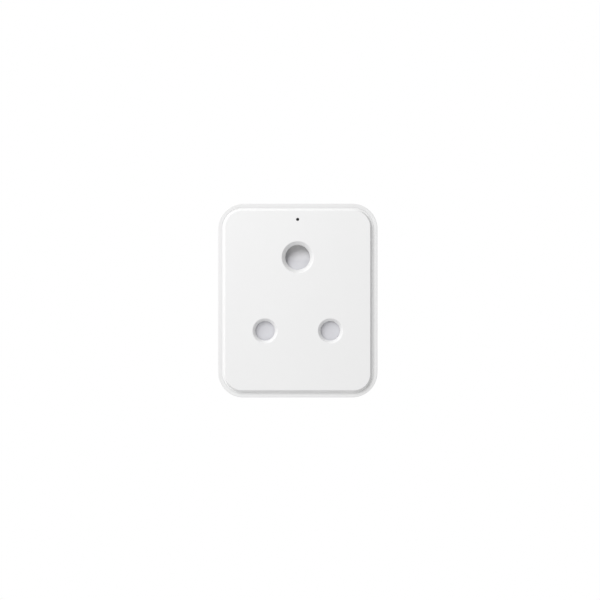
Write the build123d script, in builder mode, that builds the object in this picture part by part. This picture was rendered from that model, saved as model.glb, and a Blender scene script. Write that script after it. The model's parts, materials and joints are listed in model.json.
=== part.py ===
"""Plug-in power meter: a round-pin socket in its face, a round-pin plug on its back.

Frame: +Z up and X across the face. The user is at -Y and the wall at +Y. The origin is the centre of
the back face, which rests on the wall socket's plate. Depths are measured from the front of the face
plate towards the wall. All sizes are in millimetres.
"""

import os

from build123d import *

# ---- Body -----------------------------------------------------------------------------------------
body_width = 62.0
body_height = 75.4
body_depth = 44.0
corner_radius = 9.8
wall = 2.0
front_edge_round = 0.2
rear_edge_round = 1.6
cover_thickness = 3.0
cover_lip_height = 2.5
cover_lip_thickness = 1.6
slip = 0.1  # clearance on each side between fixed pieces that fit together

# ---- Face plate -----------------------------------------------------------------------------------
rim_width = 1.55  # of the shell, showing round the plate
plate_rise = 1.5  # above the rim, and the width of the sloping edge
plate_edge_round = 0.6
plate_thickness = 2.4
skirt_thickness = 1.8
skirt_end = 5.0  # depth at which the plate's skirt sits on the shell's ledge
ledge_thickness = 2.0
ledge_width = 3.45

# ---- Pin pattern of the 15/16 A round-pin system --------------------------------------------------
live_pitch = 25.4
earth_offset = 28.58
pattern_lift = 2.5  # of the pattern's middle above the body's
live_pin_radius = 3.53
live_pin_length = 18.62
earth_pin_radius = 4.355
earth_pin_length = 28.58
pin_tip_round = 1.6
pin_neck_growth = 0.5  # of the shoulder that fills the rear cover's hole
live_bore_radius = 3.75
earth_bore_radius = 4.8
funnel_depth = 1.1
live_funnel_growth = 0.9
earth_funnel_growth = 1.3
funnel_edge_round = 0.3

# ---- Indicator ------------------------------------------------------------------------------------
indicator_z = 31.5
indicator_radius = 0.6
indicator_recess = 0.15
light_pipe_radius = 1.5
led_size = 3.0
led_height = 1.6

# ---- Shutter --------------------------------------------------------------------------------------
slide_gap = 0.3  # between the shutter and what guides it
shutter_thickness = 1.6
shutter_overlap = 0.7  # past the edge of a bore that it covers
shutter_travel = 9.6
flap_corner = 1.5
ramp_rise = 4.4  # depth that the earth pin goes in while it drives the shutter down
ramp_skin = 1.2
ramp_cheek = 1.3
web_width = 7.0
spring_radius = 1.7
spring_wire = 0.5
spring_turns = 12
spring_tab_thickness = 1.4
trough_width = 5.2
trough_depth = 5.0
trough_end_z = -29.5
peg_radius = 1.1
peg_length = 1.6

# ---- Contact carrier ------------------------------------------------------------------------------
carrier_wall = 1.4
platform_thickness = 1.6
carrier_flange = 1.8
carrier_gap = 0.5  # from its flange to the shell's walls
post_radius = 2.4
post_inset = 4.5  # of a post's axis from the board's side edges
post_z = 22.0
carrier_screw_inset = 5.4  # of a screw's axis from the edges of the ledge's opening

# ---- Socket contacts ------------------------------------------------------------------------------
contact_wall = 0.8
contact_floor = 0.8
contact_slot = 0.9
contact_slot_share = 0.7  # of the contact's length
contact_flare = 0.5
pin_tip_room = 0.8
clip_thickness = 0.5
clip_width = 2.4
clip_gap = 1.4
clip_clearance = 0.03
tube_room = 0.45  # from a clip to the tube round it
tube_wall = 1.6
rivet_radius = 1.5
rivet_head_radius = 2.6
rivet_head = 0.9
rivet_inner_radius = 2.2
rivet_inner_head = 0.4  # set flush in the contact's floor

# ---- Links from the plug pins to the contacts and the board ----------------------------------------
link_thickness = 1.0
link_width = 6.0
link_end = 3.5  # from a rivet or a pin's axis to the strap's end
link_reach = 9.0  # from that axis to the inside of the bend
link_bend = 0.9
collar_thickness = 2.0
collar_growth = 1.6
seat_wall = 1.4
shank_radius = 2.0
shank_proud = 0.5
nut_across_flats = 7.0
nut_height = 1.6

# ---- Boards ---------------------------------------------------------------------------------------
board_thickness = 1.6
board_gap = 2.0  # from the shell's walls
board_front_room = 0.9  # from the rivet heads to the board
lead_radius = 0.4
lead_tail = 1.2
lead_clearance = 0.1
module_width = 16.0
module_height = 14.0
module_thickness = 1.0
module_x = -17.0
module_z = 27.0
shield_size = 11.0
shield_height = 2.4
header_size = 2.5
header_pins = 5
header_pitch = 2.0

# ---- Board components -----------------------------------------------------------------------------
relay_length = 29.0
relay_width = 12.7
relay_height = 15.7
relay_wall = 0.7
relay_base_thickness = 1.6
relay_edge_gap = 1.0  # from the board's bottom edge
choke_x = 0.0
choke_z = 0.0
choke_size = 12.0
choke_height = 11.0
choke_leg = 2.6
capacitor_radius = 4.0
capacitor_height = 11.5
capacitor_z = -2.0
capacitor_first_x = 12.6
capacitor_pitch = 8.6
film_capacitor_x = 15.0
film_capacitor_z = 28.0
film_capacitor_length = 13.0
film_capacitor_width = 6.0
film_capacitor_height = 11.0
varistor_x = -14.0
varistor_z = -2.0
varistor_radius = 5.0
varistor_thickness = 4.0
varistor_lift = 0.8
fuse_x = -14.0
fuse_z = 3.6
fuse_radius = 1.8
fuse_length = 9.0
fuse_lead_reach = 2.2
shunt_x = 18.3
shunt_z = -27.5
shunt_span = 8.0
shunt_section = 1.6
shunt_height = 4.0
chip_height = 1.6
meter_chip_x = -2.6
meter_chip_z = -14.5
meter_chip_length = 9.9
meter_chip_width = 3.9
supply_chip_x = -12.5
supply_chip_z = 9.5
supply_chip_length = 4.9
gull_lead = 1.0
gull_width = 0.4
gull_pitch = 1.27

# ---- Power button ---------------------------------------------------------------------------------
button_z = 8.0
button_length = 13.0
button_width = 6.0
button_proud = 0.5
button_travel = 0.5
button_side_gap = 0.15
button_lip = 0.9
button_lip_thickness = 0.85
button_edge_round = 0.45
button_stem_radius = 1.5
switch_size = 6.0
switch_height = 3.8
switch_setback = 0.6  # of the switch's face from the board's edge
plunger_radius = 1.1
plunger_proud = 0.8

# ---- Screws ---------------------------------------------------------------------------------------
cover_boss_inset = 4.0  # of a boss's axis from the inner walls
cover_boss_radius = 3.0
cover_screw_radius = 1.4
cover_screw_length = 10.0
cover_screw_head_radius = 2.8
cover_screw_head = 1.7
cover_screw_sink = 1.9
small_screw_radius = 1.05
small_screw_head_radius = 2.1
small_screw_head = 1.4
screw_cross_share = 0.6  # of the head's height that the cross recess goes down
carrier_boss_radius = 2.5
carrier_screw_length = 4.8
board_screw_length = 6.0
thread_clearance = 0.03

# ---- Rating plate ---------------------------------------------------------------------------------
rating_width = 34.0
rating_height = 12.0
rating_z = -26.5
rating_thickness = 0.3
rating_recess = 0.4
rating_corner = 1.0

# ---- Depths and places that follow from the values above --------------------------------------------
earth_z = pattern_lift + earth_offset / 2
live_z = pattern_lift - earth_offset / 2
live_points = [(-live_pitch / 2, live_z), (live_pitch / 2, live_z)]

plate_width = body_width - 2 * rim_width
plate_height = body_height - 2 * rim_width
plate_radius = corner_radius - rim_width
inner_width = body_width - 2 * wall
inner_height = body_height - 2 * wall
inner_radius = corner_radius - wall
ledge_open_width = plate_width - 2 * ledge_width
ledge_open_height = plate_height - 2 * ledge_width
ledge_open_radius = plate_radius - ledge_width
ledge_back = skirt_end + ledge_thickness
seam_depth = body_depth - cover_thickness

shutter_front = plate_thickness + slide_gap
shutter_back = shutter_front + shutter_thickness
platform_front = shutter_back + slide_gap
platform_back = platform_front + platform_thickness
platform_width = ledge_open_width - 2 * slip
platform_height = ledge_open_height - 2 * slip
platform_radius = ledge_open_radius - slip
flange_back = ledge_back + carrier_flange

cover_radius_live = live_bore_radius + shutter_overlap
cover_radius_earth = earth_bore_radius + slip
shutter_width = live_pitch + 2 * cover_radius_live
flap_height = 2 * cover_radius_live
ramp_width = 2 * (earth_bore_radius + slide_gap)
ramp_top_z = earth_z + cover_radius_earth
ramp_bottom_z = earth_z - cover_radius_earth
ramp_foot_z = ramp_bottom_z - carrier_wall
ramp_back = shutter_front + ramp_rise
pocket_floor = ramp_back + slide_gap
pocket_width = ramp_width + 2 * slide_gap
pocket_top_z = ramp_top_z + slide_gap
pocket_bottom_z = ramp_foot_z - shutter_travel - slide_gap
trough_axis_depth = platform_front + trough_depth / 2
spring_tab_z = live_z + cover_radius_live - spring_tab_thickness
trough_top_z = live_z + cover_radius_live + slide_gap

live_contact_radius = live_pin_radius
earth_contact_radius = earth_pin_radius
live_mouth = platform_back + slip
earth_mouth = pocket_floor + carrier_wall + slip
live_floor = live_pin_length + pin_tip_room
earth_floor = earth_pin_length + pin_tip_room
live_contact_back = live_floor + contact_floor
earth_contact_back = earth_floor + contact_floor
contact_to_tube = contact_wall + clip_clearance + clip_thickness + tube_room
live_tube_radius = live_contact_radius + contact_to_tube
earth_tube_radius = earth_contact_radius + contact_to_tube

board_front = live_contact_back + link_thickness + rivet_head + board_front_room
board_back = board_front + board_thickness
board_width = inner_width - 2 * board_gap
board_height = inner_height - 2 * board_gap
post_x = board_width / 2 - post_inset
post_points = [(x, z) for x in (-post_x, post_x) for z in (-post_z, post_z)]
carrier_screw_x = ledge_open_width / 2 - carrier_screw_inset
carrier_screw_z = ledge_open_height / 2 - carrier_screw_inset
carrier_screw_points = [
    (x, z)
    for x in (-carrier_screw_x, carrier_screw_x)
    for z in (-carrier_screw_z, carrier_screw_z)
]
boss_x = inner_width / 2 - cover_boss_inset
boss_z = inner_height / 2 - cover_boss_inset
boss_points = [(x, z) for x in (-boss_x, boss_x) for z in (-boss_z, boss_z)]

collar_front = seam_depth - collar_thickness
strap_front = collar_front - link_thickness
nut_front = strap_front - nut_height
strap_x = live_pitch / 2 + link_reach

relay_z = -board_height / 2 + relay_edge_gap + relay_width / 2
capacitor_points = [
    (capacitor_first_x, capacitor_z),
    (capacitor_first_x + capacitor_pitch, capacitor_z),
]
switch_face_x = board_width / 2 - switch_setback
switch_x = switch_face_x - switch_size / 2
button_depth = board_front - switch_height / 2
plunger_tip_x = switch_face_x + plunger_proud
lip_outer_x = body_width / 2 - wall - slip / 2
lip_inner_x = lip_outer_x - button_lip_thickness

capacitor_lead_pitch = 3.5
film_lead_pitch = 10.0
varistor_lead_pitch = 5.0
coil_lead_pitch = 8.0
capacitor_leads = [
    (x + side * capacitor_lead_pitch / 2, z)
    for x, z in capacitor_points
    for side in (-1, 1)
]
film_leads = [
    (film_capacitor_x + side * film_lead_pitch / 2, film_capacitor_z)
    for side in (-1, 1)
]
varistor_leads = [
    (varistor_x + side * varistor_lead_pitch / 2, varistor_z) for side in (-1, 1)
]
fuse_leads = [
    (fuse_x + side * (fuse_length / 2 + fuse_lead_reach), fuse_z) for side in (-1, 1)
]
choke_leads = [
    (choke_x + i * coil_lead_pitch / 2, choke_z + j * coil_lead_pitch / 2)
    for i in (-1, 1)
    for j in (-1, 1)
]
shunt_leads = [(shunt_x, shunt_z + side * shunt_span / 2) for side in (-1, 1)]
header_points = [
    (module_x + (i - (header_pins - 1) / 2) * header_pitch, module_z)
    for i in range(header_pins)
]

os.makedirs("parts", exist_ok=True)


def save(part, label):
    """Label a finished piece and write it to its own STEP file."""
    part.label = label
    export_step(part, f"parts/{label}.step")


def y_at(depth):
    """The Y of a depth behind the front of the face plate."""
    return depth - body_depth


def behind_face(depth):
    """Plane parallel to the face at a depth behind its front, looking out at the user."""
    return Plane.XZ.offset(-y_at(depth))


def slab(x, z, front, width, height, thickness, mode=Mode.ADD):
    """Box centred on (x, z), from the depth of its front back by its thickness."""
    with Locations((x, y_at(front) + thickness / 2, z)):
        Box(width, thickness, height, mode=mode)


def drum(x, z, front, radius, length, mode=Mode.ADD):
    """Cylinder about an axis square to the face, from the depth of its front back by its length."""
    with Locations(Location((x, y_at(front) + length / 2, z), (90, 0, 0))):
        Cylinder(radius, length, mode=mode)


def rounded_slab(front, width, height, radius, thickness, centre=(0, 0), mode=Mode.ADD):
    """Plate with rounded corners, from the depth of its front back by its thickness."""
    with BuildSketch(behind_face(front)) as outline:
        with Locations(centre):
            RectangleRounded(width, height, radius)
    extrude(outline.sketch, amount=-thickness, mode=mode)


def leads(points, back=None):
    """Wire leads that run from their solder tails, through the board, to a component."""
    start = board_front - lead_tail
    end = board_back if back is None else back
    for x, z in points:
        drum(x, z, start, lead_radius, end - start)


# ==== Shells =======================================================================================

with BuildPart() as face_plate:
    rounded_slab(0, plate_width, plate_height, plate_radius, skirt_end)
    chamfer(face_plate.faces().sort_by(Axis.Y)[0].edges(), length=plate_rise)
    fillet(face_plate.faces().sort_by(Axis.Y)[0].edges(), radius=plate_edge_round)
    rounded_slab(
        plate_thickness,
        plate_width - 2 * skirt_thickness,
        plate_height - 2 * skirt_thickness,
        plate_radius - skirt_thickness,
        skirt_end - plate_thickness,
        mode=Mode.SUBTRACT,
    )
    for x, z in carrier_screw_points:
        drum(x, z, plate_thickness, carrier_boss_radius, platform_front - plate_thickness)
        pilot = carrier_screw_length - platform_thickness + slip
        drum(
            x,
            z,
            platform_front - pilot,
            small_screw_radius + thread_clearance,
            pilot,
            mode=Mode.SUBTRACT,
        )
    # rails on both sides of the shutter
    rail_height = flap_height + shutter_travel
    for side in (-1, 1):
        slab(
            side * (shutter_width / 2 + slide_gap + carrier_wall / 2),
            live_z + cover_radius_live - rail_height / 2,
            plate_thickness,
            carrier_wall,
            rail_height,
            shutter_thickness,
        )
    for (x, z), radius, growth in (
        *((point, live_bore_radius, live_funnel_growth) for point in live_points),
        ((0, earth_z), earth_bore_radius, earth_funnel_growth),
    ):
        drum(x, z, 0, radius, plate_thickness, mode=Mode.SUBTRACT)
        with BuildSketch(behind_face(0)):
            with Locations((x, z)):
                Circle(radius + growth)
        with BuildSketch(behind_face(funnel_depth)):
            with Locations((x, z)):
                Circle(radius)
        loft(mode=Mode.SUBTRACT)
    mouths = face_plate.faces().sort_by(Axis.Y)[0].edges().filter_by(GeomType.CIRCLE)
    fillet(mouths.filter_by(lambda edge: edge.is_closed), radius=funnel_edge_round)
    drum(0, indicator_z, 0, indicator_radius, plate_thickness, mode=Mode.SUBTRACT)
save(face_plate.part, "face_plate")

with BuildPart() as body_shell:
    rounded_slab(plate_rise, body_width, body_height, corner_radius, seam_depth - plate_rise)
    fillet(
        body_shell.faces().sort_by(Axis.Y)[0].edges(), radius=front_edge_round
    )
    rounded_slab(
        plate_rise,
        plate_width + 2 * slip,
        plate_height + 2 * slip,
        plate_radius + slip,
        skirt_end - plate_rise,
        mode=Mode.SUBTRACT,
    )
    rounded_slab(
        skirt_end,
        ledge_open_width,
        ledge_open_height,
        ledge_open_radius,
        ledge_thickness,
        mode=Mode.SUBTRACT,
    )
    rounded_slab(
        ledge_back,
        inner_width,
        inner_height,
        inner_radius,
        seam_depth - ledge_back,
        mode=Mode.SUBTRACT,
    )
    for x, z in boss_points:
        drum(x, z, ledge_back, cover_boss_radius, seam_depth - ledge_back)
        pilot = cover_screw_length + slip
        drum(
            x,
            z,
            seam_depth - pilot,
            cover_screw_radius + thread_clearance,
            pilot,
            mode=Mode.SUBTRACT,
        )
    drum(
        0,
        indicator_z,
        skirt_end,
        light_pipe_radius + 3 * slip,
        ledge_thickness,
        mode=Mode.SUBTRACT,
    )
    with BuildSketch(Plane.YZ.offset(body_width / 2 - wall)):
        with Locations((y_at(button_depth), button_z)):
            SlotOverall(
                button_length + 2 * button_side_gap,
                button_width + 2 * button_side_gap,
                rotation=90,
            )
    extrude(amount=wall, mode=Mode.SUBTRACT)
save(body_shell.part, "body_shell")

with BuildPart() as rear_cover:
    rounded_slab(seam_depth, body_width, body_height, corner_radius, cover_thickness)
    fillet(rear_cover.faces().sort_by(Axis.Y)[-1].edges(), radius=rear_edge_round)
    rounded_slab(
        seam_depth - cover_lip_height,
        inner_width - 2 * slip,
        inner_height - 2 * slip,
        inner_radius - slip,
        cover_lip_height,
    )
    rounded_slab(
        seam_depth - cover_lip_height,
        inner_width - 2 * (slip + cover_lip_thickness),
        inner_height - 2 * (slip + cover_lip_thickness),
        inner_radius - slip - cover_lip_thickness,
        cover_lip_height,
        mode=Mode.SUBTRACT,
    )
    for x, z in boss_points:
        drum(
            x,
            z,
            seam_depth - cover_lip_height,
            cover_boss_radius + slide_gap,
            cover_lip_height,
            mode=Mode.SUBTRACT,
        )
        drum(x, z, seam_depth, cover_screw_radius + slip, cover_thickness, mode=Mode.SUBTRACT)
        drum(
            x,
            z,
            body_depth - cover_screw_sink,
            cover_screw_head_radius + 2 * slip,
            cover_screw_sink,
            mode=Mode.SUBTRACT,
        )
    # raised seats round the collars of the pins
    for (x, z), radius in (
        *((point, live_pin_radius) for point in live_points),
        ((0, earth_z), earth_pin_radius),
    ):
        collar = radius + collar_growth + slip
        drum(x, z, collar_front, collar + seat_wall, collar_thickness)
        drum(x, z, collar_front, collar, collar_thickness, mode=Mode.SUBTRACT)
        drum(
            x,
            z,
            seam_depth,
            radius + pin_neck_growth + slip / 2,
            cover_thickness,
            mode=Mode.SUBTRACT,
        )
    rounded_slab(
        body_depth - rating_recess,
        rating_width + 4 * slip,
        rating_height + 4 * slip,
        rating_corner + 2 * slip,
        rating_recess,
        centre=(0, rating_z),
        mode=Mode.SUBTRACT,
    )
save(rear_cover.part, "rear_cover")

with BuildPart() as rating_plate:
    rounded_slab(
        body_depth - rating_recess,
        rating_width,
        rating_height,
        rating_corner,
        rating_thickness,
        centre=(0, rating_z),
    )
save(rating_plate.part, "rating_plate")


# ==== Plug pins ====================================================================================


def plug_pin(label, x, z, radius, length):
    """A solid plug pin with the collar and the threaded shank that hold it in the rear cover."""
    with BuildPart() as pin:
        drum(x, z, seam_depth, radius + pin_neck_growth, cover_thickness)
        drum(x, z, body_depth, radius, length)
        fillet(pin.faces().sort_by(Axis.Y)[-1].edges(), radius=pin_tip_round)
        drum(x, z, collar_front, radius + collar_growth, collar_thickness)
        drum(
            x,
            z,
            nut_front - shank_proud,
            shank_radius,
            collar_front - nut_front + shank_proud,
        )
    save(pin.part, label)


plug_pin("earth_pin", 0, earth_z, earth_pin_radius, earth_pin_length)
plug_pin("neutral_pin", *live_points[0], live_pin_radius, live_pin_length)
plug_pin("line_pin", *live_points[1], live_pin_radius, live_pin_length)

with BuildPart() as pin_nuts:
    for x, z in (*live_points, (0, earth_z)):
        with BuildSketch(behind_face(nut_front)):
            with Locations((x, z)):
                RegularPolygon(nut_across_flats / 2, 6, major_radius=False)
                Circle(shank_radius + thread_clearance, mode=Mode.SUBTRACT)
        extrude(amount=-nut_height)
save(pin_nuts.part, "pin_nuts")


# ==== Socket contacts ==============================================================================


def socket_contact(label, x, z, radius, mouth, floor, tube_radius):
    """A slotted sleeve that grips a pin, with a flared mouth and a riveted floor."""
    length = floor - mouth
    with BuildPart() as contact:
        drum(x, z, mouth, radius + contact_wall, length)
        drum(x, z, mouth, radius, length, mode=Mode.SUBTRACT)
        with BuildSketch(behind_face(mouth)):
            with Locations((x, z)):
                Circle(radius + contact_flare)
        with BuildSketch(behind_face(mouth + 2 * contact_flare)):
            with Locations((x, z)):
                Circle(radius)
        loft(mode=Mode.SUBTRACT)
        slot_length = length * contact_slot_share
        reach = 2 * (radius + contact_wall) + slip
        slab(x, z, mouth, reach, contact_slot, slot_length, mode=Mode.SUBTRACT)
        slab(x, z, mouth, contact_slot, reach, slot_length, mode=Mode.SUBTRACT)
        drum(x, z, floor, tube_radius - slip, contact_floor)
        drum(x, z, floor, rivet_radius + slip / 2, contact_floor, mode=Mode.SUBTRACT)
        drum(x, z, floor, rivet_inner_radius + slip / 2, rivet_inner_head, mode=Mode.SUBTRACT)
    save(contact.part, label)


def contact_clip(label, x, z, radius, mouth, floor):
    """The open spring ring that closes a contact's fingers on the pin."""
    inner = radius + contact_wall + clip_clearance
    front = mouth + (floor - mouth) / 4
    with BuildPart() as clip:
        drum(x, z, front, inner + clip_thickness, clip_width)
        drum(x, z, front, inner, clip_width, mode=Mode.SUBTRACT)
        slab(x, z + inner, front, clip_gap, inner, clip_width, mode=Mode.SUBTRACT)
    save(clip.part, label)


for name, (x, z) in zip(("neutral", "line"), live_points):
    socket_contact(
        f"{name}_contact", x, z, live_contact_radius, live_mouth, live_floor, live_tube_radius
    )
    contact_clip(f"{name}_contact_clip", x, z, live_contact_radius, live_mouth, live_floor)
socket_contact(
    "earth_contact",
    0,
    earth_z,
    earth_contact_radius,
    earth_mouth,
    earth_floor,
    earth_tube_radius,
)
contact_clip(
    "earth_contact_clip", 0, earth_z, earth_contact_radius, earth_mouth, earth_floor
)

with BuildPart() as contact_rivets:
    for (x, z), floor in (
        *((point, live_floor) for point in live_points),
        ((0, earth_z), earth_floor),
    ):
        grip = contact_floor + link_thickness
        drum(x, z, floor, rivet_inner_radius, rivet_inner_head)
        drum(x, z, floor, rivet_radius, grip)
        drum(x, z, floor + grip, rivet_head_radius, rivet_head)
    fillet(
        contact_rivets.faces().filter_by(Axis.Y).group_by(Axis.Y)[-1].edges()
        + [
            edge
            for edge in contact_rivets.edges().filter_by(GeomType.CIRCLE)
            if abs(edge.center().Y - y_at(live_floor + grip + rivet_head)) < slip
        ],
        radius=rivet_head / 2,
    )
save(contact_rivets.part, "contact_rivets")

# ==== Shutter and the carrier that guides it =======================================================

with BuildPart() as shutter:
    rounded_slab(
        shutter_front,
        shutter_width,
        flap_height,
        flap_corner,
        shutter_thickness,
        centre=(0, live_z),
    )
    web_bottom = live_z + cover_radius_live - slip
    slab(
        0,
        (web_bottom + ramp_bottom_z) / 2,
        shutter_front,
        web_width,
        ramp_bottom_z - web_bottom,
        shutter_thickness,
    )
    with BuildSketch(Plane.YZ.offset(-ramp_width / 2)):
        with BuildLine():
            Polyline(
                (y_at(shutter_front), ramp_foot_z),
                (y_at(shutter_front), ramp_bottom_z),
                (y_at(ramp_back), ramp_top_z),
                (y_at(ramp_back), ramp_foot_z),
                close=True,
            )
        make_face()
    extrude(amount=ramp_width)
    # the wedge is cored out from below, leaving a skin and two cheeks
    core_slope = (ramp_top_z - ramp_bottom_z) / ramp_rise
    core_front = shutter_front + 2 * ramp_skin
    core_back = ramp_back - ramp_skin / 2
    with BuildSketch(Plane.YZ.offset(-ramp_width / 2 + ramp_cheek)):
        with BuildLine():
            Polyline(
                (y_at(core_front), ramp_foot_z),
                (y_at(core_front), ramp_bottom_z + slip),
                (y_at(core_back), ramp_bottom_z + (core_back - core_front) * core_slope),
                (y_at(core_back), ramp_foot_z),
                close=True,
            )
        make_face()
    extrude(amount=ramp_width - 2 * ramp_cheek, mode=Mode.SUBTRACT)
    tab_reach = trough_depth - 3 * slide_gap
    slab(
        0,
        spring_tab_z + spring_tab_thickness / 2,
        shutter_back,
        trough_width - 2 * slide_gap,
        spring_tab_thickness,
        slide_gap + tab_reach,
    )
    with Locations((0, y_at(trough_axis_depth), spring_tab_z - peg_length / 2)):
        Cylinder(peg_radius, peg_length)
save(shutter.part, "shutter")

with BuildPart() as shutter_spring:
    spring_bottom = trough_end_z + spring_wire / 2 + slip
    spring_height = spring_tab_z - spring_bottom - spring_wire / 2 - slip
    with BuildLine() as coil:
        Helix(
            pitch=spring_height / spring_turns,
            height=spring_height,
            radius=spring_radius,
            center=(0, y_at(trough_axis_depth), spring_bottom),
        )
    with BuildSketch(Plane(origin=coil.line @ 0, z_dir=coil.line % 0)):
        Circle(spring_wire / 2)
    sweep(path=coil.line)
save(shutter_spring.part, "shutter_spring")

with BuildPart() as contact_carrier:
    flange_width = inner_width - 2 * carrier_gap
    flange_height = inner_height - 2 * carrier_gap
    rounded_slab(
        ledge_back, flange_width, flange_height, inner_radius - carrier_gap, carrier_flange
    )
    rounded_slab(
        platform_front,
        platform_width,
        platform_height,
        platform_radius,
        flange_back - platform_front,
    )
    rounded_slab(
        platform_back,
        platform_width - 2 * carrier_wall,
        platform_height - 2 * carrier_wall,
        platform_radius - carrier_wall,
        flange_back - platform_back,
        mode=Mode.SUBTRACT,
    )
    # tubes round the contacts
    for (x, z), inner, end in (
        *((point, live_tube_radius, live_contact_back) for point in live_points),
        ((0, earth_z), earth_tube_radius, earth_contact_back),
    ):
        drum(x, z, platform_front, inner + tube_wall, end - slip - platform_front)
    # the box that holds the ramp, and the trough that holds the spring
    pocket_height = pocket_top_z - pocket_bottom_z
    pocket_z = (pocket_top_z + pocket_bottom_z) / 2
    slab(
        0,
        pocket_z,
        platform_front,
        pocket_width + 2 * carrier_wall,
        pocket_height + 2 * carrier_wall,
        pocket_floor + carrier_wall - platform_front,
    )
    trough_height = trough_top_z - trough_end_z
    trough_z = (trough_top_z + trough_end_z) / 2
    slab(
        0,
        trough_z,
        platform_front,
        trough_width + 2 * carrier_wall,
        trough_height + 2 * carrier_wall,
        trough_depth + carrier_wall,
    )
    slab(
        0,
        pocket_z,
        platform_front,
        pocket_width,
        pocket_height,
        pocket_floor - platform_front,
        mode=Mode.SUBTRACT,
    )
    slab(
        0,
        trough_z,
        platform_front,
        trough_width,
        trough_height,
        trough_depth,
        mode=Mode.SUBTRACT,
    )
    with Locations((0, y_at(trough_axis_depth), trough_end_z + peg_length / 2)):
        Cylinder(peg_radius, peg_length)
    for x, z in live_points:
        drum(x, z, platform_front, live_bore_radius, platform_thickness, mode=Mode.SUBTRACT)
        drum(
            x,
            z,
            platform_back,
            live_tube_radius,
            live_contact_back - platform_back,
            mode=Mode.SUBTRACT,
        )
    drum(0, earth_z, pocket_floor, earth_bore_radius, carrier_wall, mode=Mode.SUBTRACT)
    drum(
        0,
        earth_z,
        pocket_floor + carrier_wall,
        earth_tube_radius,
        earth_contact_back - pocket_floor - carrier_wall,
        mode=Mode.SUBTRACT,
    )
    for x, z in post_points:
        drum(x, z, platform_back, post_radius, board_front - platform_back)
        drum(
            x,
            z,
            board_front - board_screw_length,
            small_screw_radius + thread_clearance,
            board_screw_length,
            mode=Mode.SUBTRACT,
        )
    for x, z in carrier_screw_points:
        drum(
            x,
            z,
            platform_front,
            small_screw_radius + slip,
            platform_thickness,
            mode=Mode.SUBTRACT,
        )
    for x, z in boss_points:
        drum(
            x,
            z,
            ledge_back,
            cover_boss_radius + slide_gap,
            carrier_flange,
            mode=Mode.SUBTRACT,
        )
    drum(
        0,
        indicator_z,
        platform_front,
        light_pipe_radius + slip,
        flange_back - platform_front,
        mode=Mode.SUBTRACT,
    )
save(contact_carrier.part, "contact_carrier")

# ==== Links ========================================================================================


def side_strap(side, front, back):
    """Strap that bends round a live contact's side, in the plane square to Z, from front to back."""
    start = side * (live_pitch / 2 - link_end)
    bend = side * (strap_x + link_thickness)
    with BuildSketch(Plane.XY.offset(live_z - link_width / 2)) as profile:
        with Locations(((start + bend) / 2, y_at((front + back) / 2))):
            Rectangle(abs(bend - start), back - front)
        with Locations(
            ((start + bend) / 2 - side * link_thickness / 2, y_at((front + back) / 2))
        ):
            Rectangle(
                abs(bend - start) - link_thickness,
                back - front - 2 * link_thickness,
                mode=Mode.SUBTRACT,
            )
    extrude(profile.sketch, amount=link_width)


with BuildPart() as neutral_link:
    side_strap(-1, live_contact_back, strap_front + link_thickness)
    fillet(
        neutral_link.edges().filter_by(Axis.Z).group_by(Axis.X)[0], radius=link_bend
    )
    x, z = live_points[0]
    drum(x, z, live_contact_back, rivet_radius + slip / 2, link_thickness, mode=Mode.SUBTRACT)
    drum(x, z, strap_front, shank_radius + slip / 2, link_thickness, mode=Mode.SUBTRACT)
save(neutral_link.part, "neutral_link")

with BuildPart() as line_link:
    # from the pin to a tab soldered in the board
    side_strap(1, board_front - lead_tail - link_thickness, strap_front + link_thickness)
    slab(
        0,
        live_z,
        board_front - lead_tail - link_thickness,
        2 * strap_x,
        link_width,
        link_thickness,
        mode=Mode.SUBTRACT,
    )
    slab(
        strap_x + link_thickness / 2,
        live_z,
        board_front - lead_tail - link_thickness,
        link_thickness,
        link_width,
        link_thickness,
        mode=Mode.SUBTRACT,
    )
    fillet(
        line_link.edges().filter_by(Axis.Z).group_by(Axis.X)[-1].group_by(Axis.Y)[-1],
        radius=link_bend,
    )
    x, z = live_points[1]
    drum(x, z, strap_front, shank_radius + slip / 2, link_thickness, mode=Mode.SUBTRACT)
save(line_link.part, "line_link")

load_link_x = live_pitch / 2 - live_tube_radius - tube_wall - link_thickness / 2
with BuildPart() as load_link:
    # from the line contact to a tab soldered in the board
    strap_end_x = live_pitch / 2 + link_end
    slab(
        (load_link_x - link_thickness / 2 + strap_end_x) / 2,
        live_z,
        live_contact_back,
        strap_end_x - load_link_x + link_thickness / 2,
        link_width,
        link_thickness,
    )
    slab(
        load_link_x,
        live_z,
        live_contact_back,
        link_thickness,
        link_width,
        board_back + lead_tail - live_contact_back,
    )
    x, z = live_points[1]
    drum(x, z, live_contact_back, rivet_radius + slip / 2, link_thickness, mode=Mode.SUBTRACT)
save(load_link.part, "load_link")

with BuildPart() as earth_link:
    strap_top_z = earth_z + link_reach + link_thickness
    strap_bottom_z = earth_z - link_end
    strap_back = strap_front + link_thickness
    with BuildSketch(Plane.YZ.offset(-link_width / 2)):
        with Locations(
            (y_at((earth_contact_back + strap_back) / 2), (strap_top_z + strap_bottom_z) / 2)
        ):
            Rectangle(strap_back - earth_contact_back, strap_top_z - strap_bottom_z)
        with Locations(
            (
                y_at((earth_contact_back + strap_back) / 2),
                (strap_top_z + strap_bottom_z - link_thickness) / 2,
            )
        ):
            Rectangle(
                strap_back - earth_contact_back - 2 * link_thickness,
                strap_top_z - strap_bottom_z - link_thickness,
                mode=Mode.SUBTRACT,
            )
    extrude(amount=link_width)
    fillet(earth_link.edges().filter_by(Axis.X).group_by(Axis.Z)[-1], radius=link_bend)
    drum(
        0,
        earth_z,
        earth_contact_back,
        rivet_radius + slip / 2,
        link_thickness,
        mode=Mode.SUBTRACT,
    )
    drum(0, earth_z, strap_front, shank_radius + slip / 2, link_thickness, mode=Mode.SUBTRACT)
save(earth_link.part, "earth_link")

# ==== Indicator and button =========================================================================

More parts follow.
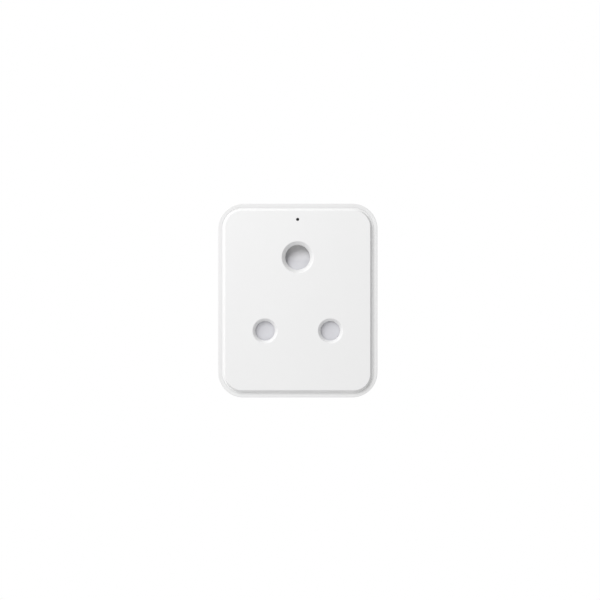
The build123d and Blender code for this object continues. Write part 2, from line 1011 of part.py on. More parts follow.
with BuildPart() as light_pipe:
    pipe_end = board_front - led_height - 2 * slip
    drum(
        0,
        indicator_z,
        indicator_recess,
        indicator_radius - slip / 2,
        plate_thickness + slip - indicator_recess,
    )
    drum(
        0,
        indicator_z,
        plate_thickness + slip,
        light_pipe_radius,
        pipe_end - plate_thickness - slip,
    )
    drum(
        0,
        indicator_z,
        flange_back + slip,
        light_pipe_radius + 2 * slide_gap,
        carrier_flange,
    )
save(light_pipe.part, "light_pipe")

with BuildPart() as status_led:
    slab(0, indicator_z, board_front - led_height / 2, led_size, led_size, led_height / 2)
    drum(0, indicator_z, board_front - led_height, led_size / 3, led_height / 2)
save(status_led.part, "status_led")

with BuildPart() as power_button:
    with BuildSketch(Plane.YZ.offset(lip_inner_x)):
        with Locations((y_at(button_depth), button_z)):
            SlotOverall(
                button_length + 2 * button_lip, button_width + 2 * button_lip, rotation=90
            )
    extrude(amount=button_lip_thickness)
    with BuildSketch(Plane.YZ.offset(lip_inner_x)):
        with Locations((y_at(button_depth), button_z)):
            SlotOverall(button_length, button_width, rotation=90)
    extrude(amount=body_width / 2 + button_proud - lip_inner_x)
    fillet(
        power_button.faces().sort_by(Axis.X)[-1].edges(), radius=button_edge_round
    )
    stem_length = lip_inner_x - plunger_tip_x - slip
    with Locations(
        Location(
            (lip_inner_x - stem_length / 2, y_at(button_depth), button_z), (0, 90, 0)
        )
    ):
        Cylinder(button_stem_radius, stem_length)
save(power_button.part, "power_button")

with BuildPart() as switch_plunger:
    plunger_length = plunger_proud + button_travel
    with Locations(
        Location(
            (plunger_tip_x - plunger_length / 2, y_at(button_depth), button_z), (0, 90, 0)
        )
    ):
        Cylinder(plunger_radius, plunger_length)
save(switch_plunger.part, "switch_plunger")

with BuildPart() as switch_body:
    slab(
        switch_x,
        button_z,
        board_front - switch_height,
        switch_size,
        switch_size,
        switch_height,
    )
    plunger_room = plunger_length - plunger_proud + button_travel + slip
    with Locations(
        Location(
            (switch_face_x - plunger_room / 2, y_at(button_depth), button_z), (0, 90, 0)
        )
    ):
        Cylinder(plunger_radius + slip, plunger_room, mode=Mode.SUBTRACT)
save(switch_body.part, "switch_body")

# ==== Relay ========================================================================================

relay_bobbin_length = 15.0
relay_flange = 9.0
relay_flange_thickness = 0.8
relay_core_radius = 2.0
relay_core_proud = 1.6
relay_barrel_wall = 0.5
relay_winding_radius = 4.2
relay_axis = board_back + 7.4  # depth of the coil's axis
relay_yoke_thickness = 1.2
relay_pole_gap = 0.7
relay_hinge_gap = 0.15
relay_armature_thickness = 1.1
relay_blade_thickness = 0.3
relay_contact_radius = 1.3
relay_contact_height = 0.6
relay_contact_gap = 0.6
relay_terminal_width = 3.0
relay_terminal_thickness = 0.6
relay_coil_centre = -2.5  # from the relay's middle, along its length
relay_contact_rise = 1.6

coil_left = relay_coil_centre - relay_bobbin_length / 2
coil_right = relay_coil_centre + relay_bobbin_length / 2
pole_x = coil_right + relay_core_proud
yoke_left = coil_left - relay_yoke_thickness
yoke_front = relay_axis + relay_flange / 2 + slip
armature_left = pole_x + relay_pole_gap
armature_right = armature_left + relay_armature_thickness
relay_floor = board_back + relay_base_thickness
armature_front = relay_axis - relay_core_radius - slide_gap
armature_back = yoke_front + relay_yoke_thickness + slide_gap
contact_depth = relay_floor + relay_contact_rise
blade_contact_left = armature_right - relay_contact_height
fixed_contact_right = blade_contact_left - relay_contact_gap
fixed_blade_right = fixed_contact_right - relay_contact_height
yoke_terminal_x = yoke_left + relay_yoke_thickness / 2
fixed_terminal_x = fixed_blade_right - relay_terminal_thickness / 2
relay_terminals = [(yoke_terminal_x, relay_z), (fixed_terminal_x, relay_z)]

with BuildPart() as relay_cover:
    slab(0, relay_z, board_back, relay_length, relay_width, relay_height)
    fillet(
        relay_cover.faces().sort_by(Axis.Y)[-1].edges() + relay_cover.edges().filter_by(Axis.Y),
        radius=relay_wall,
    )
    slab(
        0,
        relay_z,
        board_back,
        relay_length - 2 * relay_wall,
        relay_width - 2 * relay_wall,
        relay_height - relay_wall,
        mode=Mode.SUBTRACT,
    )
save(relay_cover.part, "relay_cover")

with BuildPart() as relay_base:
    slab(
        0,
        relay_z,
        board_back,
        relay_length - 2 * (relay_wall + slip),
        relay_width - 2 * (relay_wall + slip),
        relay_base_thickness,
    )
    for x, z in relay_terminals:
        slab(
            x,
            z,
            board_back,
            relay_terminal_thickness + 2 * slip,
            relay_terminal_width + 2 * slip,
            relay_base_thickness,
            mode=Mode.SUBTRACT,
        )
save(relay_base.part, "relay_base")

with BuildPart() as relay_bobbin:
    for x in (coil_left, coil_right - relay_flange_thickness):
        slab(
            x + relay_flange_thickness / 2,
            relay_z,
            relay_axis - relay_flange / 2,
            relay_flange_thickness,
            relay_flange,
            relay_flange,
        )
    with Locations(Location((relay_coil_centre, y_at(relay_axis), relay_z), (0, 90, 0))):
        Cylinder(relay_core_radius + slip + relay_barrel_wall, relay_bobbin_length)
        Cylinder(
            relay_core_radius + slip / 2, relay_bobbin_length, mode=Mode.SUBTRACT
        )
    # two feet that stand the bobbin on the base
    for x in (coil_left, coil_right - relay_flange_thickness):
        slab(
            x + relay_flange_thickness / 2,
            relay_z,
            relay_floor,
            relay_flange_thickness,
            relay_flange / 2,
            relay_axis - relay_flange / 2 - relay_floor,
        )
save(relay_bobbin.part, "relay_bobbin")

with BuildPart() as relay_winding:
    winding_length = relay_bobbin_length - 2 * relay_flange_thickness
    with Locations(Location((relay_coil_centre, y_at(relay_axis), relay_z), (0, 90, 0))):
        Cylinder(relay_winding_radius, winding_length)
        Cylinder(
            relay_core_radius + slip + relay_barrel_wall, winding_length, mode=Mode.SUBTRACT
        )
save(relay_winding.part, "relay_winding")

with BuildPart() as relay_yoke:
    # core, rear leg down to a terminal, and the top limb that the armature hinges on
    core_length = pole_x - coil_left
    with Locations(
        Location(((pole_x + coil_left) / 2, y_at(relay_axis), relay_z), (0, 90, 0))
    ):
        Cylinder(relay_core_radius, core_length)
    slab(
        yoke_left + relay_yoke_thickness / 2,
        relay_z,
        relay_floor + slip,
        relay_yoke_thickness,
        relay_flange,
        yoke_front + relay_yoke_thickness - relay_floor - slip,
    )
    limb_right = armature_left - relay_hinge_gap
    slab(
        (yoke_left + limb_right) / 2,
        relay_z,
        yoke_front,
        limb_right - yoke_left,
        relay_flange,
        relay_yoke_thickness,
    )
    slab(
        yoke_terminal_x,
        relay_z,
        board_front - lead_tail,
        relay_terminal_thickness,
        relay_terminal_width,
        relay_floor + 2 * slip - board_front + lead_tail,
    )
save(relay_yoke.part, "relay_yoke")

with BuildPart() as relay_armature:
    slab(
        (armature_left + armature_right) / 2,
        relay_z,
        armature_front,
        relay_armature_thickness,
        relay_flange - 2 * slip,
        armature_back - armature_front,
    )
save(relay_armature.part, "relay_armature")

with BuildPart() as relay_blade:
    slab(
        armature_right + relay_blade_thickness / 2,
        relay_z,
        contact_depth - relay_contact_radius,
        relay_blade_thickness,
        relay_terminal_width,
        armature_back - contact_depth + relay_contact_radius,
    )
    with Locations(
        Location(
            (armature_right - relay_contact_height / 2, y_at(contact_depth), relay_z),
            (0, 90, 0),
        )
    ):
        Cylinder(relay_contact_radius, relay_contact_height)
save(relay_blade.part, "relay_blade")

with BuildPart() as relay_fixed_contact:
    slab(
        fixed_terminal_x,
        relay_z,
        board_front - lead_tail,
        relay_terminal_thickness,
        relay_terminal_width,
        contact_depth + relay_contact_radius - board_front + lead_tail,
    )
    with Locations(
        Location(
            (fixed_blade_right + relay_contact_height / 2, y_at(contact_depth), relay_z),
            (0, 90, 0),
        )
    ):
        Cylinder(relay_contact_radius, relay_contact_height)
save(relay_fixed_contact.part, "relay_fixed_contact")

# ==== Main board and what stands on it =============================================================

with BuildPart() as main_board:
    rounded_slab(
        board_front, board_width, board_height, inner_radius - board_gap, board_thickness
    )
    for x, z in boss_points:
        drum(
            x,
            z,
            board_front,
            cover_boss_radius + 2 * slide_gap,
            board_thickness,
            mode=Mode.SUBTRACT,
        )
    drum(
        0,
        earth_z,
        board_front,
        earth_tube_radius + tube_wall + slide_gap,
        board_thickness,
        mode=Mode.SUBTRACT,
    )
    for x, z in post_points:
        drum(x, z, board_front, small_screw_radius + slip, board_thickness, mode=Mode.SUBTRACT)
    for x in (-strap_x - link_thickness / 2, strap_x + link_thickness / 2, load_link_x):
        slab(
            x,
            live_z,
            board_front,
            link_thickness + 2 * slip,
            link_width + 2 * slip,
            board_thickness,
            mode=Mode.SUBTRACT,
        )
    for x, z in relay_terminals:
        slab(
            x,
            z,
            board_front,
            relay_terminal_thickness + 2 * slip,
            relay_terminal_width + 2 * slip,
            board_thickness,
            mode=Mode.SUBTRACT,
        )
    for x, z in (
        *capacitor_leads,
        *film_leads,
        *varistor_leads,
        *fuse_leads,
        *choke_leads,
        *shunt_leads,
        *header_points,
    ):
        drum(x, z, board_front, lead_radius + lead_clearance, board_thickness, mode=Mode.SUBTRACT)
save(main_board.part, "main_board")

with BuildPart() as storage_capacitors:
    for x, z in capacitor_points:
        drum(x, z, board_back, capacitor_radius, capacitor_height)
    fillet(
        storage_capacitors.faces().filter_by(Axis.Y).group_by(Axis.Y)[-1].edges(),
        radius=3 * slip,
    )
    leads(capacitor_leads)
save(storage_capacitors.part, "storage_capacitors")

with BuildPart() as film_capacitor:
    slab(
        film_capacitor_x,
        film_capacitor_z,
        board_back,
        film_capacitor_length,
        film_capacitor_width,
        film_capacitor_height,
    )
    fillet(film_capacitor.edges().filter_by(Axis.Y), radius=2 * slip)
    leads(film_leads)
save(film_capacitor.part, "film_capacitor")

with BuildPart() as varistor:
    varistor_depth = board_back + varistor_lift + varistor_radius
    with Locations((varistor_x, y_at(varistor_depth), varistor_z)):
        Cylinder(varistor_radius, varistor_thickness)
    fillet(varistor.edges().filter_by(GeomType.CIRCLE), radius=varistor_thickness / 4)
    leads(varistor_leads, varistor_depth)
save(varistor.part, "varistor")

with BuildPart() as fuse_resistor:
    fuse_depth = board_back + fuse_radius
    with Locations(Location((fuse_x, y_at(fuse_depth), fuse_z), (0, 90, 0))):
        Cylinder(fuse_radius, fuse_length)
    fillet(fuse_resistor.edges().filter_by(GeomType.CIRCLE), radius=fuse_radius / 3)
    with Locations(Location((fuse_x, y_at(fuse_depth), fuse_z), (0, 90, 0))):
        Cylinder(lead_radius, fuse_length + 2 * fuse_lead_reach)
    leads(fuse_leads, fuse_depth)
save(fuse_resistor.part, "fuse_resistor")

with BuildPart() as choke_core:
    # a closed frame with a middle leg, standing on the board
    slab(choke_x, choke_z, board_back, choke_size, choke_size, choke_height)
    window = (choke_size - 3 * choke_leg) / 2
    for side in (-1, 1):
        slab(
            choke_x + side * (choke_leg + window) / 2,
            choke_z,
            board_back + choke_leg,
            window,
            choke_size,
            choke_height - 2 * choke_leg,
            mode=Mode.SUBTRACT,
        )
    slab(
        choke_x,
        choke_z + (choke_size + choke_leg) / 4 + slip,
        board_back + choke_leg,
        choke_leg,
        (choke_size - choke_leg) / 2,
        choke_height - 2 * choke_leg,
        mode=Mode.SUBTRACT,
    )
    slab(
        choke_x,
        choke_z - (choke_size + choke_leg) / 4 - slip,
        board_back + choke_leg,
        choke_leg,
        (choke_size - choke_leg) / 2,
        choke_height - 2 * choke_leg,
        mode=Mode.SUBTRACT,
    )
save(choke_core.part, "choke_core")

with BuildPart() as choke_winding:
    winding_height = choke_height - 2 * choke_leg - 2 * slip
    with BuildSketch(behind_face(board_back + choke_leg + slip)):
        with Locations((choke_x, choke_z)):
            RectangleRounded(choke_leg + 2 * window - 2 * slip, choke_size - choke_leg, 1)
            Rectangle(choke_leg + 4 * slip, choke_leg + 6 * slip, mode=Mode.SUBTRACT)
    extrude(amount=-winding_height)
save(choke_winding.part, "choke_winding")

with BuildPart() as shunt_resistor:
    for x, z in shunt_leads:
        drum(x, z, board_front - lead_tail, lead_radius, board_thickness + lead_tail)
        slab(x, z, board_back, shunt_section, shunt_section, shunt_height)
    slab(
        shunt_x,
        shunt_z,
        board_back + shunt_height - shunt_section,
        shunt_section,
        shunt_span + shunt_section,
        shunt_section,
    )
save(shunt_resistor.part, "shunt_resistor")


def flat_chip(label, x, z, length, width, lead_count):
    """A surface-mounted chip with a row of bent leads along each long side."""
    with BuildPart() as chip:
        slab(x, z, board_back, length, width, chip_height)
        fillet(chip.faces().sort_by(Axis.Y)[-1].edges(), radius=slip)
        for i in range(lead_count):
            place = x + (i - (lead_count - 1) / 2) * gull_pitch
            slab(
                place,
                z,
                board_back,
                gull_width,
                width + 2 * gull_lead,
                gull_width,
            )
    save(chip.part, label)


flat_chip("metering_chip", meter_chip_x, meter_chip_z, meter_chip_length, meter_chip_width, 7)
flat_chip("supply_chip", supply_chip_x, supply_chip_z, supply_chip_length, meter_chip_width, 4)

with BuildPart() as module_header:
    slab(
        module_x,
        module_z,
        board_back,
        header_pins * header_pitch,
        header_size,
        header_size,
    )
    leads(header_points)
save(module_header.part, "module_header")

with BuildPart() as radio_board:
    slab(
        module_x,
        module_z,
        board_back + header_size,
        module_width,
        module_thickness,
        module_height - header_size,
    )
save(radio_board.part, "radio_board")

with BuildPart() as radio_shield:
    shield_depth = module_height - header_size - 2 * slide_gap
    shield_z = module_z + module_thickness / 2 + shield_height / 2
    slab(
        module_x + (module_width - shield_size) / 2 - slide_gap,
        shield_z,
        board_back + header_size + slide_gap,
        shield_size,
        shield_height,
        shield_depth,
    )
    fillet(radio_shield.faces().sort_by(Axis.Z)[-1].edges(), radius=slide_gap)
save(radio_shield.part, "radio_shield")

# ==== Screws =======================================================================================


def screw(x, z, seat, shank_length, shank, head_radius, head_height):
    """A pan-head screw whose head seats at a depth and faces the wall, with a cross in its head."""
    drum(x, z, seat - shank_length, shank, shank_length)
    drum(x, z, seat, head_radius, head_height)
    cross_depth = head_height * screw_cross_share
    for width, height in ((head_radius, shank / 2), (shank / 2, head_radius)):
        slab(
            x,
            z,
            seat + head_height - cross_depth,
            width,
            height,
            cross_depth,
            mode=Mode.SUBTRACT,
        )


with BuildPart() as cover_screws:
    for x, z in boss_points:
        screw(
            x,
            z,
            body_depth - cover_screw_sink,
            cover_screw_length + cover_thickness - cover_screw_sink - slip,
            cover_screw_radius,
            cover_screw_head_radius,
            cover_screw_head,
        )
save(cover_screws.part, "cover_screws")

with BuildPart() as carrier_screws:
    for x, z in carrier_screw_points:
        screw(
            x,
            z,
            platform_back,
            carrier_screw_length,
            small_screw_radius,
            small_screw_head_radius,
            small_screw_head,
        )
save(carrier_screws.part, "carrier_screws")

with BuildPart() as board_screws:
    for x, z in post_points:
        screw(
            x,
            z,
            board_back,
            board_screw_length + board_thickness - slip,
            small_screw_radius,
            small_screw_head_radius,
            small_screw_head,
        )
save(board_screws.part, "board_screws")
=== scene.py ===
"""The looks of the plug-through power meter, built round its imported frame. All sizes are in metres."""

import json
import logging
import math
from dataclasses import dataclass
from enum import Enum

import bmesh
import bpy
from mathutils import Matrix, Vector


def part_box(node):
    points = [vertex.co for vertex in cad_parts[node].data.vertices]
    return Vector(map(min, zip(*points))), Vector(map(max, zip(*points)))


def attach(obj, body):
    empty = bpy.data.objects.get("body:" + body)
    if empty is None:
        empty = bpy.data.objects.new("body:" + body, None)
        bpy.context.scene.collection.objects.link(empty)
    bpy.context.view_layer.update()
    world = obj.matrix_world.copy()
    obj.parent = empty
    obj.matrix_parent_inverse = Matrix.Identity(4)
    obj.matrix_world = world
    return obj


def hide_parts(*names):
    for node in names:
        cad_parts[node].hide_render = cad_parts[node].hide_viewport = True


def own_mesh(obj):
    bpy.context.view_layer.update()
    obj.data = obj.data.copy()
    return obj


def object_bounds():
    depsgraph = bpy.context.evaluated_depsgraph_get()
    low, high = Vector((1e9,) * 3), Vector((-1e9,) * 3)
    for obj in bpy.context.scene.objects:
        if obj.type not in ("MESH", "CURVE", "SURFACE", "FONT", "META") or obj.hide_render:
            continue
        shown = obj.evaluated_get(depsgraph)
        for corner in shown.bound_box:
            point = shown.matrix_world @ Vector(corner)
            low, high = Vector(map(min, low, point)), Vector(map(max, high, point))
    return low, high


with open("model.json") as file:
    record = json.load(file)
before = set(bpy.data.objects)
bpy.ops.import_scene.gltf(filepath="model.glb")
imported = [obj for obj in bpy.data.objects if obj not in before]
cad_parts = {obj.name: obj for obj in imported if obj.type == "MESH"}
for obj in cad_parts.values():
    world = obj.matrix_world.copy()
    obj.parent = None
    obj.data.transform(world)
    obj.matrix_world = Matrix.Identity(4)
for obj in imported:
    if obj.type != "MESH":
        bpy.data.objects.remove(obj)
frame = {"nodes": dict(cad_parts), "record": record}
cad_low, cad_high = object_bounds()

log = logging.getLogger("power_meter")

Colour = tuple[float, float, float]
Point = tuple[float, float, float]
Socket = bpy.types.NodeSocket
Feed = Socket | float | int | bool | tuple
Outline = list[tuple[float, float]]
Ring = list[bmesh.types.BMVert]
Paints = dict[str, bpy.types.Material]

MM = 0.001
MERGE = 1e-7  # points closer than this are one
CREASE = 35.0  # degrees past which an edge stays sharp
RIM_DISH = 0.26 * MM  # how far the shell's rim falls from its outer edge to the face plate


# ---- Node helpers -----------------------------------------------------------------------------------


class Shader:
    """A material whose nodes are added and linked by short calls."""

    def __init__(self, name: str) -> None:
        """Start a material with one Principled shader.

        Args:
            name: the material's name.
        """
        self.material = bpy.data.materials.new(name)
        self.material.use_nodes = True
        self.tree = self.material.node_tree
        self.surface = self.tree.nodes["Principled BSDF"]
        self.place = self.tree.nodes.new("ShaderNodeTexCoord").outputs["Object"]

    def node(
        self, kind: str, inputs: dict[str | int, Feed] | None = None, **settings: object
    ) -> bpy.types.Node:
        """Add a node.

        Args:
            kind: the node's type.
            inputs: values or output sockets for its named or numbered inputs.
            settings: the node's own properties.

        Returns:
            The new node.
        """
        node = self.tree.nodes.new(kind)
        for key, value in settings.items():
            setattr(node, key, value)
        for key, value in (inputs or {}).items():
            self.feed(node.inputs[key], value)
        return node

    def feed(self, socket: Socket, value: Feed) -> None:
        """Set a socket to a value, or link an output to it.

        Args:
            socket: the input.
            value: a plain value or an output.
        """
        if isinstance(value, Socket):
            self.tree.links.new(value, socket)
        else:
            socket.default_value = value

    def noise(self, scale: float, detail: float = 3.0, stretch: Point = (1, 1, 1)) -> Socket:
        """Noise on the piece's own coordinates.

        Args:
            scale: how many features lie in a metre.
            detail: how many finer layers are added.
            stretch: scale of the pattern along each axis.

        Returns:
            The noise's value, about 0.5.
        """
        mapped = self.node("ShaderNodeMapping", {"Vector": self.place, "Scale": stretch})
        noise = self.node(
            "ShaderNodeTexNoise",
            {"Vector": mapped.outputs["Vector"], "Scale": scale, "Detail": detail, "Roughness": 0.55},
        )
        return noise.outputs["Fac"]

    def remap(self, value: Socket, low: float, high: float, start: float = 0.3, end: float = 0.7) -> Socket:
        """Spread a value between two limits.

        Args:
            value: the value to spread.
            low: the result at start.
            high: the result at end.
            start: the value that gives low.
            end: the value that gives high.

        Returns:
            The result's socket.
        """
        spread = self.node(
            "ShaderNodeMapRange",
            {"Value": value, "From Min": start, "From Max": end, "To Min": low, "To Max": high},
        )
        return spread.outputs["Result"]

    def blend(self, share: Socket, first: Socket | Colour, second: Socket | Colour) -> Socket:
        """Mix two colours.

        Args:
            share: how much of the second colour shows, from 0 to 1.
            first: a colour or an output.
            second: a colour or an output.

        Returns:
            The mixed colour's socket.
        """
        mix = self.node("ShaderNodeMix", data_type="RGBA")
        self.feed(mix.inputs["Factor"], share)
        for socket, colour in ((mix.inputs["A"], first), (mix.inputs["B"], second)):
            self.feed(socket, colour if isinstance(colour, Socket) else (*colour, 1))
        return mix.outputs["Result"]

    def relief(self, layers: list[tuple[Socket, float, float]]) -> None:
        """Give the surface a relief.

        Args:
            layers: each height, its strength and its distance in metres.
        """
        normal = None
        for height, strength, distance in layers:
            bump = self.node("ShaderNodeBump", {"Height": height, "Strength": strength, "Distance": distance})
            if normal is not None:
                self.feed(bump.inputs["Normal"], normal)
            normal = bump.outputs["Normal"]
        self.feed(self.surface.inputs["Normal"], normal)

    def set(self, **values: Feed) -> None:
        """Set the shader's sockets.

        Args:
            values: a value or an output for each socket, whose name has _ for each space.
        """
        for key, value in values.items():
            name = key.replace("_", " ")
            found = next(s for s in self.surface.inputs if s.name.lower() == name.lower())
            self.feed(found, (*value, 1) if isinstance(value, tuple) and len(value) == 3 else value)


class GeometryTree:
    """A geometry node tree with named sizes, turned into plain meshes."""

    def __init__(self, name: str, sizes: dict[str, float], takes_mesh: bool = False) -> None:
        """Start the tree.

        Args:
            name: the tree's name.
            sizes: each named input and its usual value; an int makes a whole-number input.
            takes_mesh: whether the tree starts from the object's own mesh.
        """
        self.tree = bpy.data.node_groups.new(name, "GeometryNodeTree")
        face = self.tree.interface
        face.new_socket("Geometry", in_out="OUTPUT", socket_type="NodeSocketGeometry")
        if takes_mesh:
            face.new_socket("Mesh", in_out="INPUT", socket_type="NodeSocketGeometry")
        self.sockets = {}
        for size, usual in sizes.items():
            kind = "NodeSocketInt" if isinstance(usual, int) else "NodeSocketFloat"
            socket = face.new_socket(size, in_out="INPUT", socket_type=kind)
            socket.default_value = usual
            self.sockets[size] = socket
        self.entry = self.tree.nodes.new("NodeGroupInput").outputs

    def node(
        self, kind: str, inputs: dict[str | int, Feed] | None = None, **settings: object
    ) -> bpy.types.Node:
        """Add a node.

        Args:
            kind: the node's type.
            inputs: values or output sockets for its named or numbered inputs.
            settings: the node's own properties.

        Returns:
            The new node.
        """
        node = self.tree.nodes.new(kind)
        for key, value in settings.items():
            setattr(node, key, value)
        for key, value in (inputs or {}).items():
            self.feed(node.inputs[key], value)
        return node

    def feed(self, socket: Socket, value: Feed) -> None:
        """Set a socket to a value, or link an output to it.

        Args:
            socket: the input.
            value: a plain value or an output.
        """
        if isinstance(value, Socket):
            self.tree.links.new(value, socket)
        else:
            socket.default_value = value

    def math(self, operation: str, first: Feed, second: Feed = 0.0) -> Socket:
        """The result of one arithmetic step on two sockets or numbers."""
        return self.node("ShaderNodeMath", {0: first, 1: second}, operation=operation).outputs[0]

    def vector(self, x: Feed = 0.0, y: Feed = 0.0, z: Feed = 0.0) -> Socket:
        """A vector from three sockets or numbers."""
        return self.node("ShaderNodeCombineXYZ", {"X": x, "Y": y, "Z": z}).outputs[0]

    def moved(self, geometry: Socket, x: Feed = 0.0, y: Feed = 0.0, z: Feed = 0.0) -> Socket:
        """Geometry moved by three sockets or numbers."""
        place = self.vector(x, y, z)
        return self.node("GeometryNodeTransform", {"Geometry": geometry, "Translation": place}).outputs[0]

    def turned(self, geometry: Socket, degrees: Point) -> Socket:
        """Geometry turned about the origin by an angle in degrees about each axis."""
        turn = tuple(math.radians(angle) for angle in degrees)
        return self.node("GeometryNodeTransform", {"Geometry": geometry, "Rotation": turn}).outputs[0]

    def helix(self, radius: Feed, height: Feed, turns: Feed, steps: int) -> Socket:
        """Wind a curve up Z from the origin.

        Args:
            radius: of the turns.
            height: of the whole.
            turns: how many.
            steps: points in each turn.

        Returns:
            The curve.
        """
        inputs = {"Resolution": steps, "Rotations": turns, "Start Radius": radius, "End Radius": radius}
        return self.node("GeometryNodeCurveSpiral", {**inputs, "Height": height}).outputs[0]

    def wired(self, curve: Socket, radius: Feed, sides: int, capped: bool = True) -> Socket:
        """Make a wire that follows a curve.

        Args:
            curve: what it follows.
            radius: of the wire.
            sides: faces round it.
            capped: whether its ends are closed.

        Returns:
            The wire's mesh.
        """
        profile = self.node("GeometryNodeCurvePrimitiveCircle", {"Resolution": sides, "Radius": radius})
        inputs = {"Curve": curve, "Profile Curve": profile.outputs[0], "Fill Caps": capped}
        return self.node("GeometryNodeCurveToMesh", inputs).outputs[0]

    def joined(self, parts: list[Socket]) -> Socket:
        """Join several geometries.

        Args:
            parts: each one's socket.

        Returns:
            All of them as one.
        """
        whole = self.node("GeometryNodeJoinGeometry")
        for part in parts:
            self.feed(whole.inputs[0], part)
        return whole.outputs[0]

    def on_points(self, points: Socket, copied: Socket) -> Socket:
        """A copy of some geometry on every point."""
        return self.node("GeometryNodeInstanceOnPoints", {"Points": points, "Instance": copied}).outputs[0]

    def close(self, geometry: Socket, material: bpy.types.Material) -> None:
        """End the tree with real geometry in one material.

        Args:
            geometry: what the tree made.
            material: what it is made of.
        """
        real = self.node("GeometryNodeRealizeInstances", {"Geometry": geometry})
        painted = self.node("GeometryNodeSetMaterial", {"Geometry": real.outputs[0], "Material": material})
        exit_node = self.tree.nodes.new("NodeGroupOutput")
        self.feed(exit_node.inputs[0], painted.outputs[0])

    def build(
        self, name: str, sizes: dict[str, float], mesh: bpy.types.Mesh | None = None
    ) -> bpy.types.Object:
        """Run the tree on an object and keep the result as its plain mesh.

        Args:
            name: the piece's name.
            sizes: values for the tree's named inputs.
            mesh: the mesh the tree starts from, if it takes one.

        Returns:
            The piece, with no modifier left on it.
        """
        piece = new_object(name, mesh or bpy.data.meshes.new(name))
        modifier = piece.modifiers.new("build", "NODES")
        modifier.node_group = self.tree
        for size, value in sizes.items():
            modifier[self.sockets[size].identifier] = value
        bpy.context.view_layer.update()
        evaluated = piece.evaluated_get(bpy.context.evaluated_depsgraph_get())
        plain = bpy.data.meshes.new_from_object(evaluated)
        piece.modifiers.clear()
        bm = bmesh.new()
        bm.from_mesh(plain)
        bmesh.ops.remove_doubles(bm, verts=bm.verts, dist=MERGE)
        bmesh.ops.recalc_face_normals(bm, faces=bm.faces)
        bm.to_mesh(plain)
        bm.free()
        smooth_by_angle(plain, CREASE)
        piece.data = plain
        plain.name = name
        return piece


# ---- Mesh helpers -----------------------------------------------------------------------------------


def new_object(name: str, mesh: bpy.types.Mesh) -> bpy.types.Object:
    """Put a mesh in the scene as an object at the origin.

    Args:
        name: the object's name.
        mesh: its mesh, with its place in it.

    Returns:
        The new object.
    """
    piece = bpy.data.objects.new(name, mesh)
    bpy.context.scene.collection.objects.link(piece)
    return piece


def from_bmesh(
    name: str, bm: bmesh.types.BMesh, material: bpy.types.Material, crease: float = CREASE
) -> bpy.types.Object:
    """Finish a bmesh as a piece.

    Args:
        name: the piece's name.
        bm: the geometry, which is freed.
        material: what it is made of.
        crease: angle in degrees past which an edge stays sharp.

    Returns:
        The new object.
    """
    bmesh.ops.remove_doubles(bm, verts=bm.verts, dist=MERGE)
    bmesh.ops.recalc_face_normals(bm, faces=bm.faces)
    mesh = bpy.data.meshes.new(name)
    bm.to_mesh(mesh)
    bm.free()
    mesh.materials.append(material)
    smooth_by_angle(mesh, crease)
    return new_object(name, mesh)


def smooth_by_angle(mesh: bpy.types.Mesh, crease: float) -> None:
    """Shade a mesh smooth, apart from edges that turn by more than crease degrees."""
    mesh.shade_smooth()
    mesh.set_sharp_from_angle(angle=math.radians(crease))


def rounded_rectangle(width: float, height: float, radius: float, steps: int) -> Outline:
    """Points round a rectangle with round corners.

    Args:
        width: overall size along X.
        height: overall size along Z.
        radius: of the corners.
        steps: spans in each corner.

    Returns:
        The points, anticlockwise from the right-hand side.
    """
    points = []
    for quarter, (sx, sz) in enumerate(((1, 1), (-1, 1), (-1, -1), (1, -1))):
        cx = sx * (width / 2 - radius)
        cz = sz * (height / 2 - radius)
        for i in range(steps + 1):
            angle = math.radians(90 * (quarter + i / steps))
            points.append((cx + radius * math.cos(angle), cz + radius * math.sin(angle)))
    return points


def circle(radius: float, steps: int) -> Outline:
    """Points round a circle about the origin."""
    turn = math.tau / steps
    return [(radius * math.cos(i * turn), radius * math.sin(i * turn)) for i in range(steps)]


def ring(bm: bmesh.types.BMesh, outline: Outline, y: float, x: float = 0, z: float = 0) -> Ring:
    """Add a closed outline's points in the plane at y, moved by (x, z), and return them."""
    return [bm.verts.new((px + x, y, pz + z)) for px, pz in outline]


def bridge(bm: bmesh.types.BMesh, first: Ring, second: Ring) -> None:
    """Join two outlines with as many points by a band of faces.

    Args:
        bm: where the faces go.
        first: one outline's points.
        second: the other's.
    """
    count = len(first)
    for i in range(count):
        j = (i + 1) % count
        bm.faces.new((first[i], first[j], second[j], second[i]))


def loft(bm: bmesh.types.BMesh, rings: list[Ring]) -> None:
    """Join each outline of a list to the next."""
    for first, second in zip(rings, rings[1:]):
        bridge(bm, first, second)


def fill(bm: bmesh.types.BMesh, rings: list[Ring]) -> None:
    """Fill the flat area between an outline and the holes in it.

    Args:
        bm: where the faces go.
        rings: the outline and each hole's edge.
    """
    edges = []
    for points in rings:
        for i, point in enumerate(points):
            after = points[(i + 1) % len(points)]
            edges.append(bm.edges.get((point, after)) or bm.edges.new((point, after)))
    bmesh.ops.triangle_fill(bm, edges=edges, use_beauty=True, use_dissolve=False)


def lathe(bm: bmesh.types.BMesh, profile: Outline, place: Matrix, steps: int) -> None:
    """Turn a profile about an axis.

    Args:
        bm: where the faces go.
        profile: (radius, height) points from one end to the other; a radius of 0 closes the end.
        place: puts the Z axis of the profile where it belongs.
        steps: faces round the axis.
    """
    rings = []
    for radius, height in profile:
        if radius == 0:
            rings.append([bm.verts.new(place @ Vector((0, 0, height)))])
        else:
            rings.append([bm.verts.new(place @ Vector((x, y, height))) for x, y in circle(radius, steps)])
    for first, second in zip(rings, rings[1:]):
        if len(first) == 1 or len(second) == 1:
            tip, rim = (first[0], second) if len(first) == 1 else (second[0], first)
            for i in range(steps):
                bm.faces.new((tip, rim[i], rim[(i + 1) % steps]))
        else:
            bridge(bm, first, second)


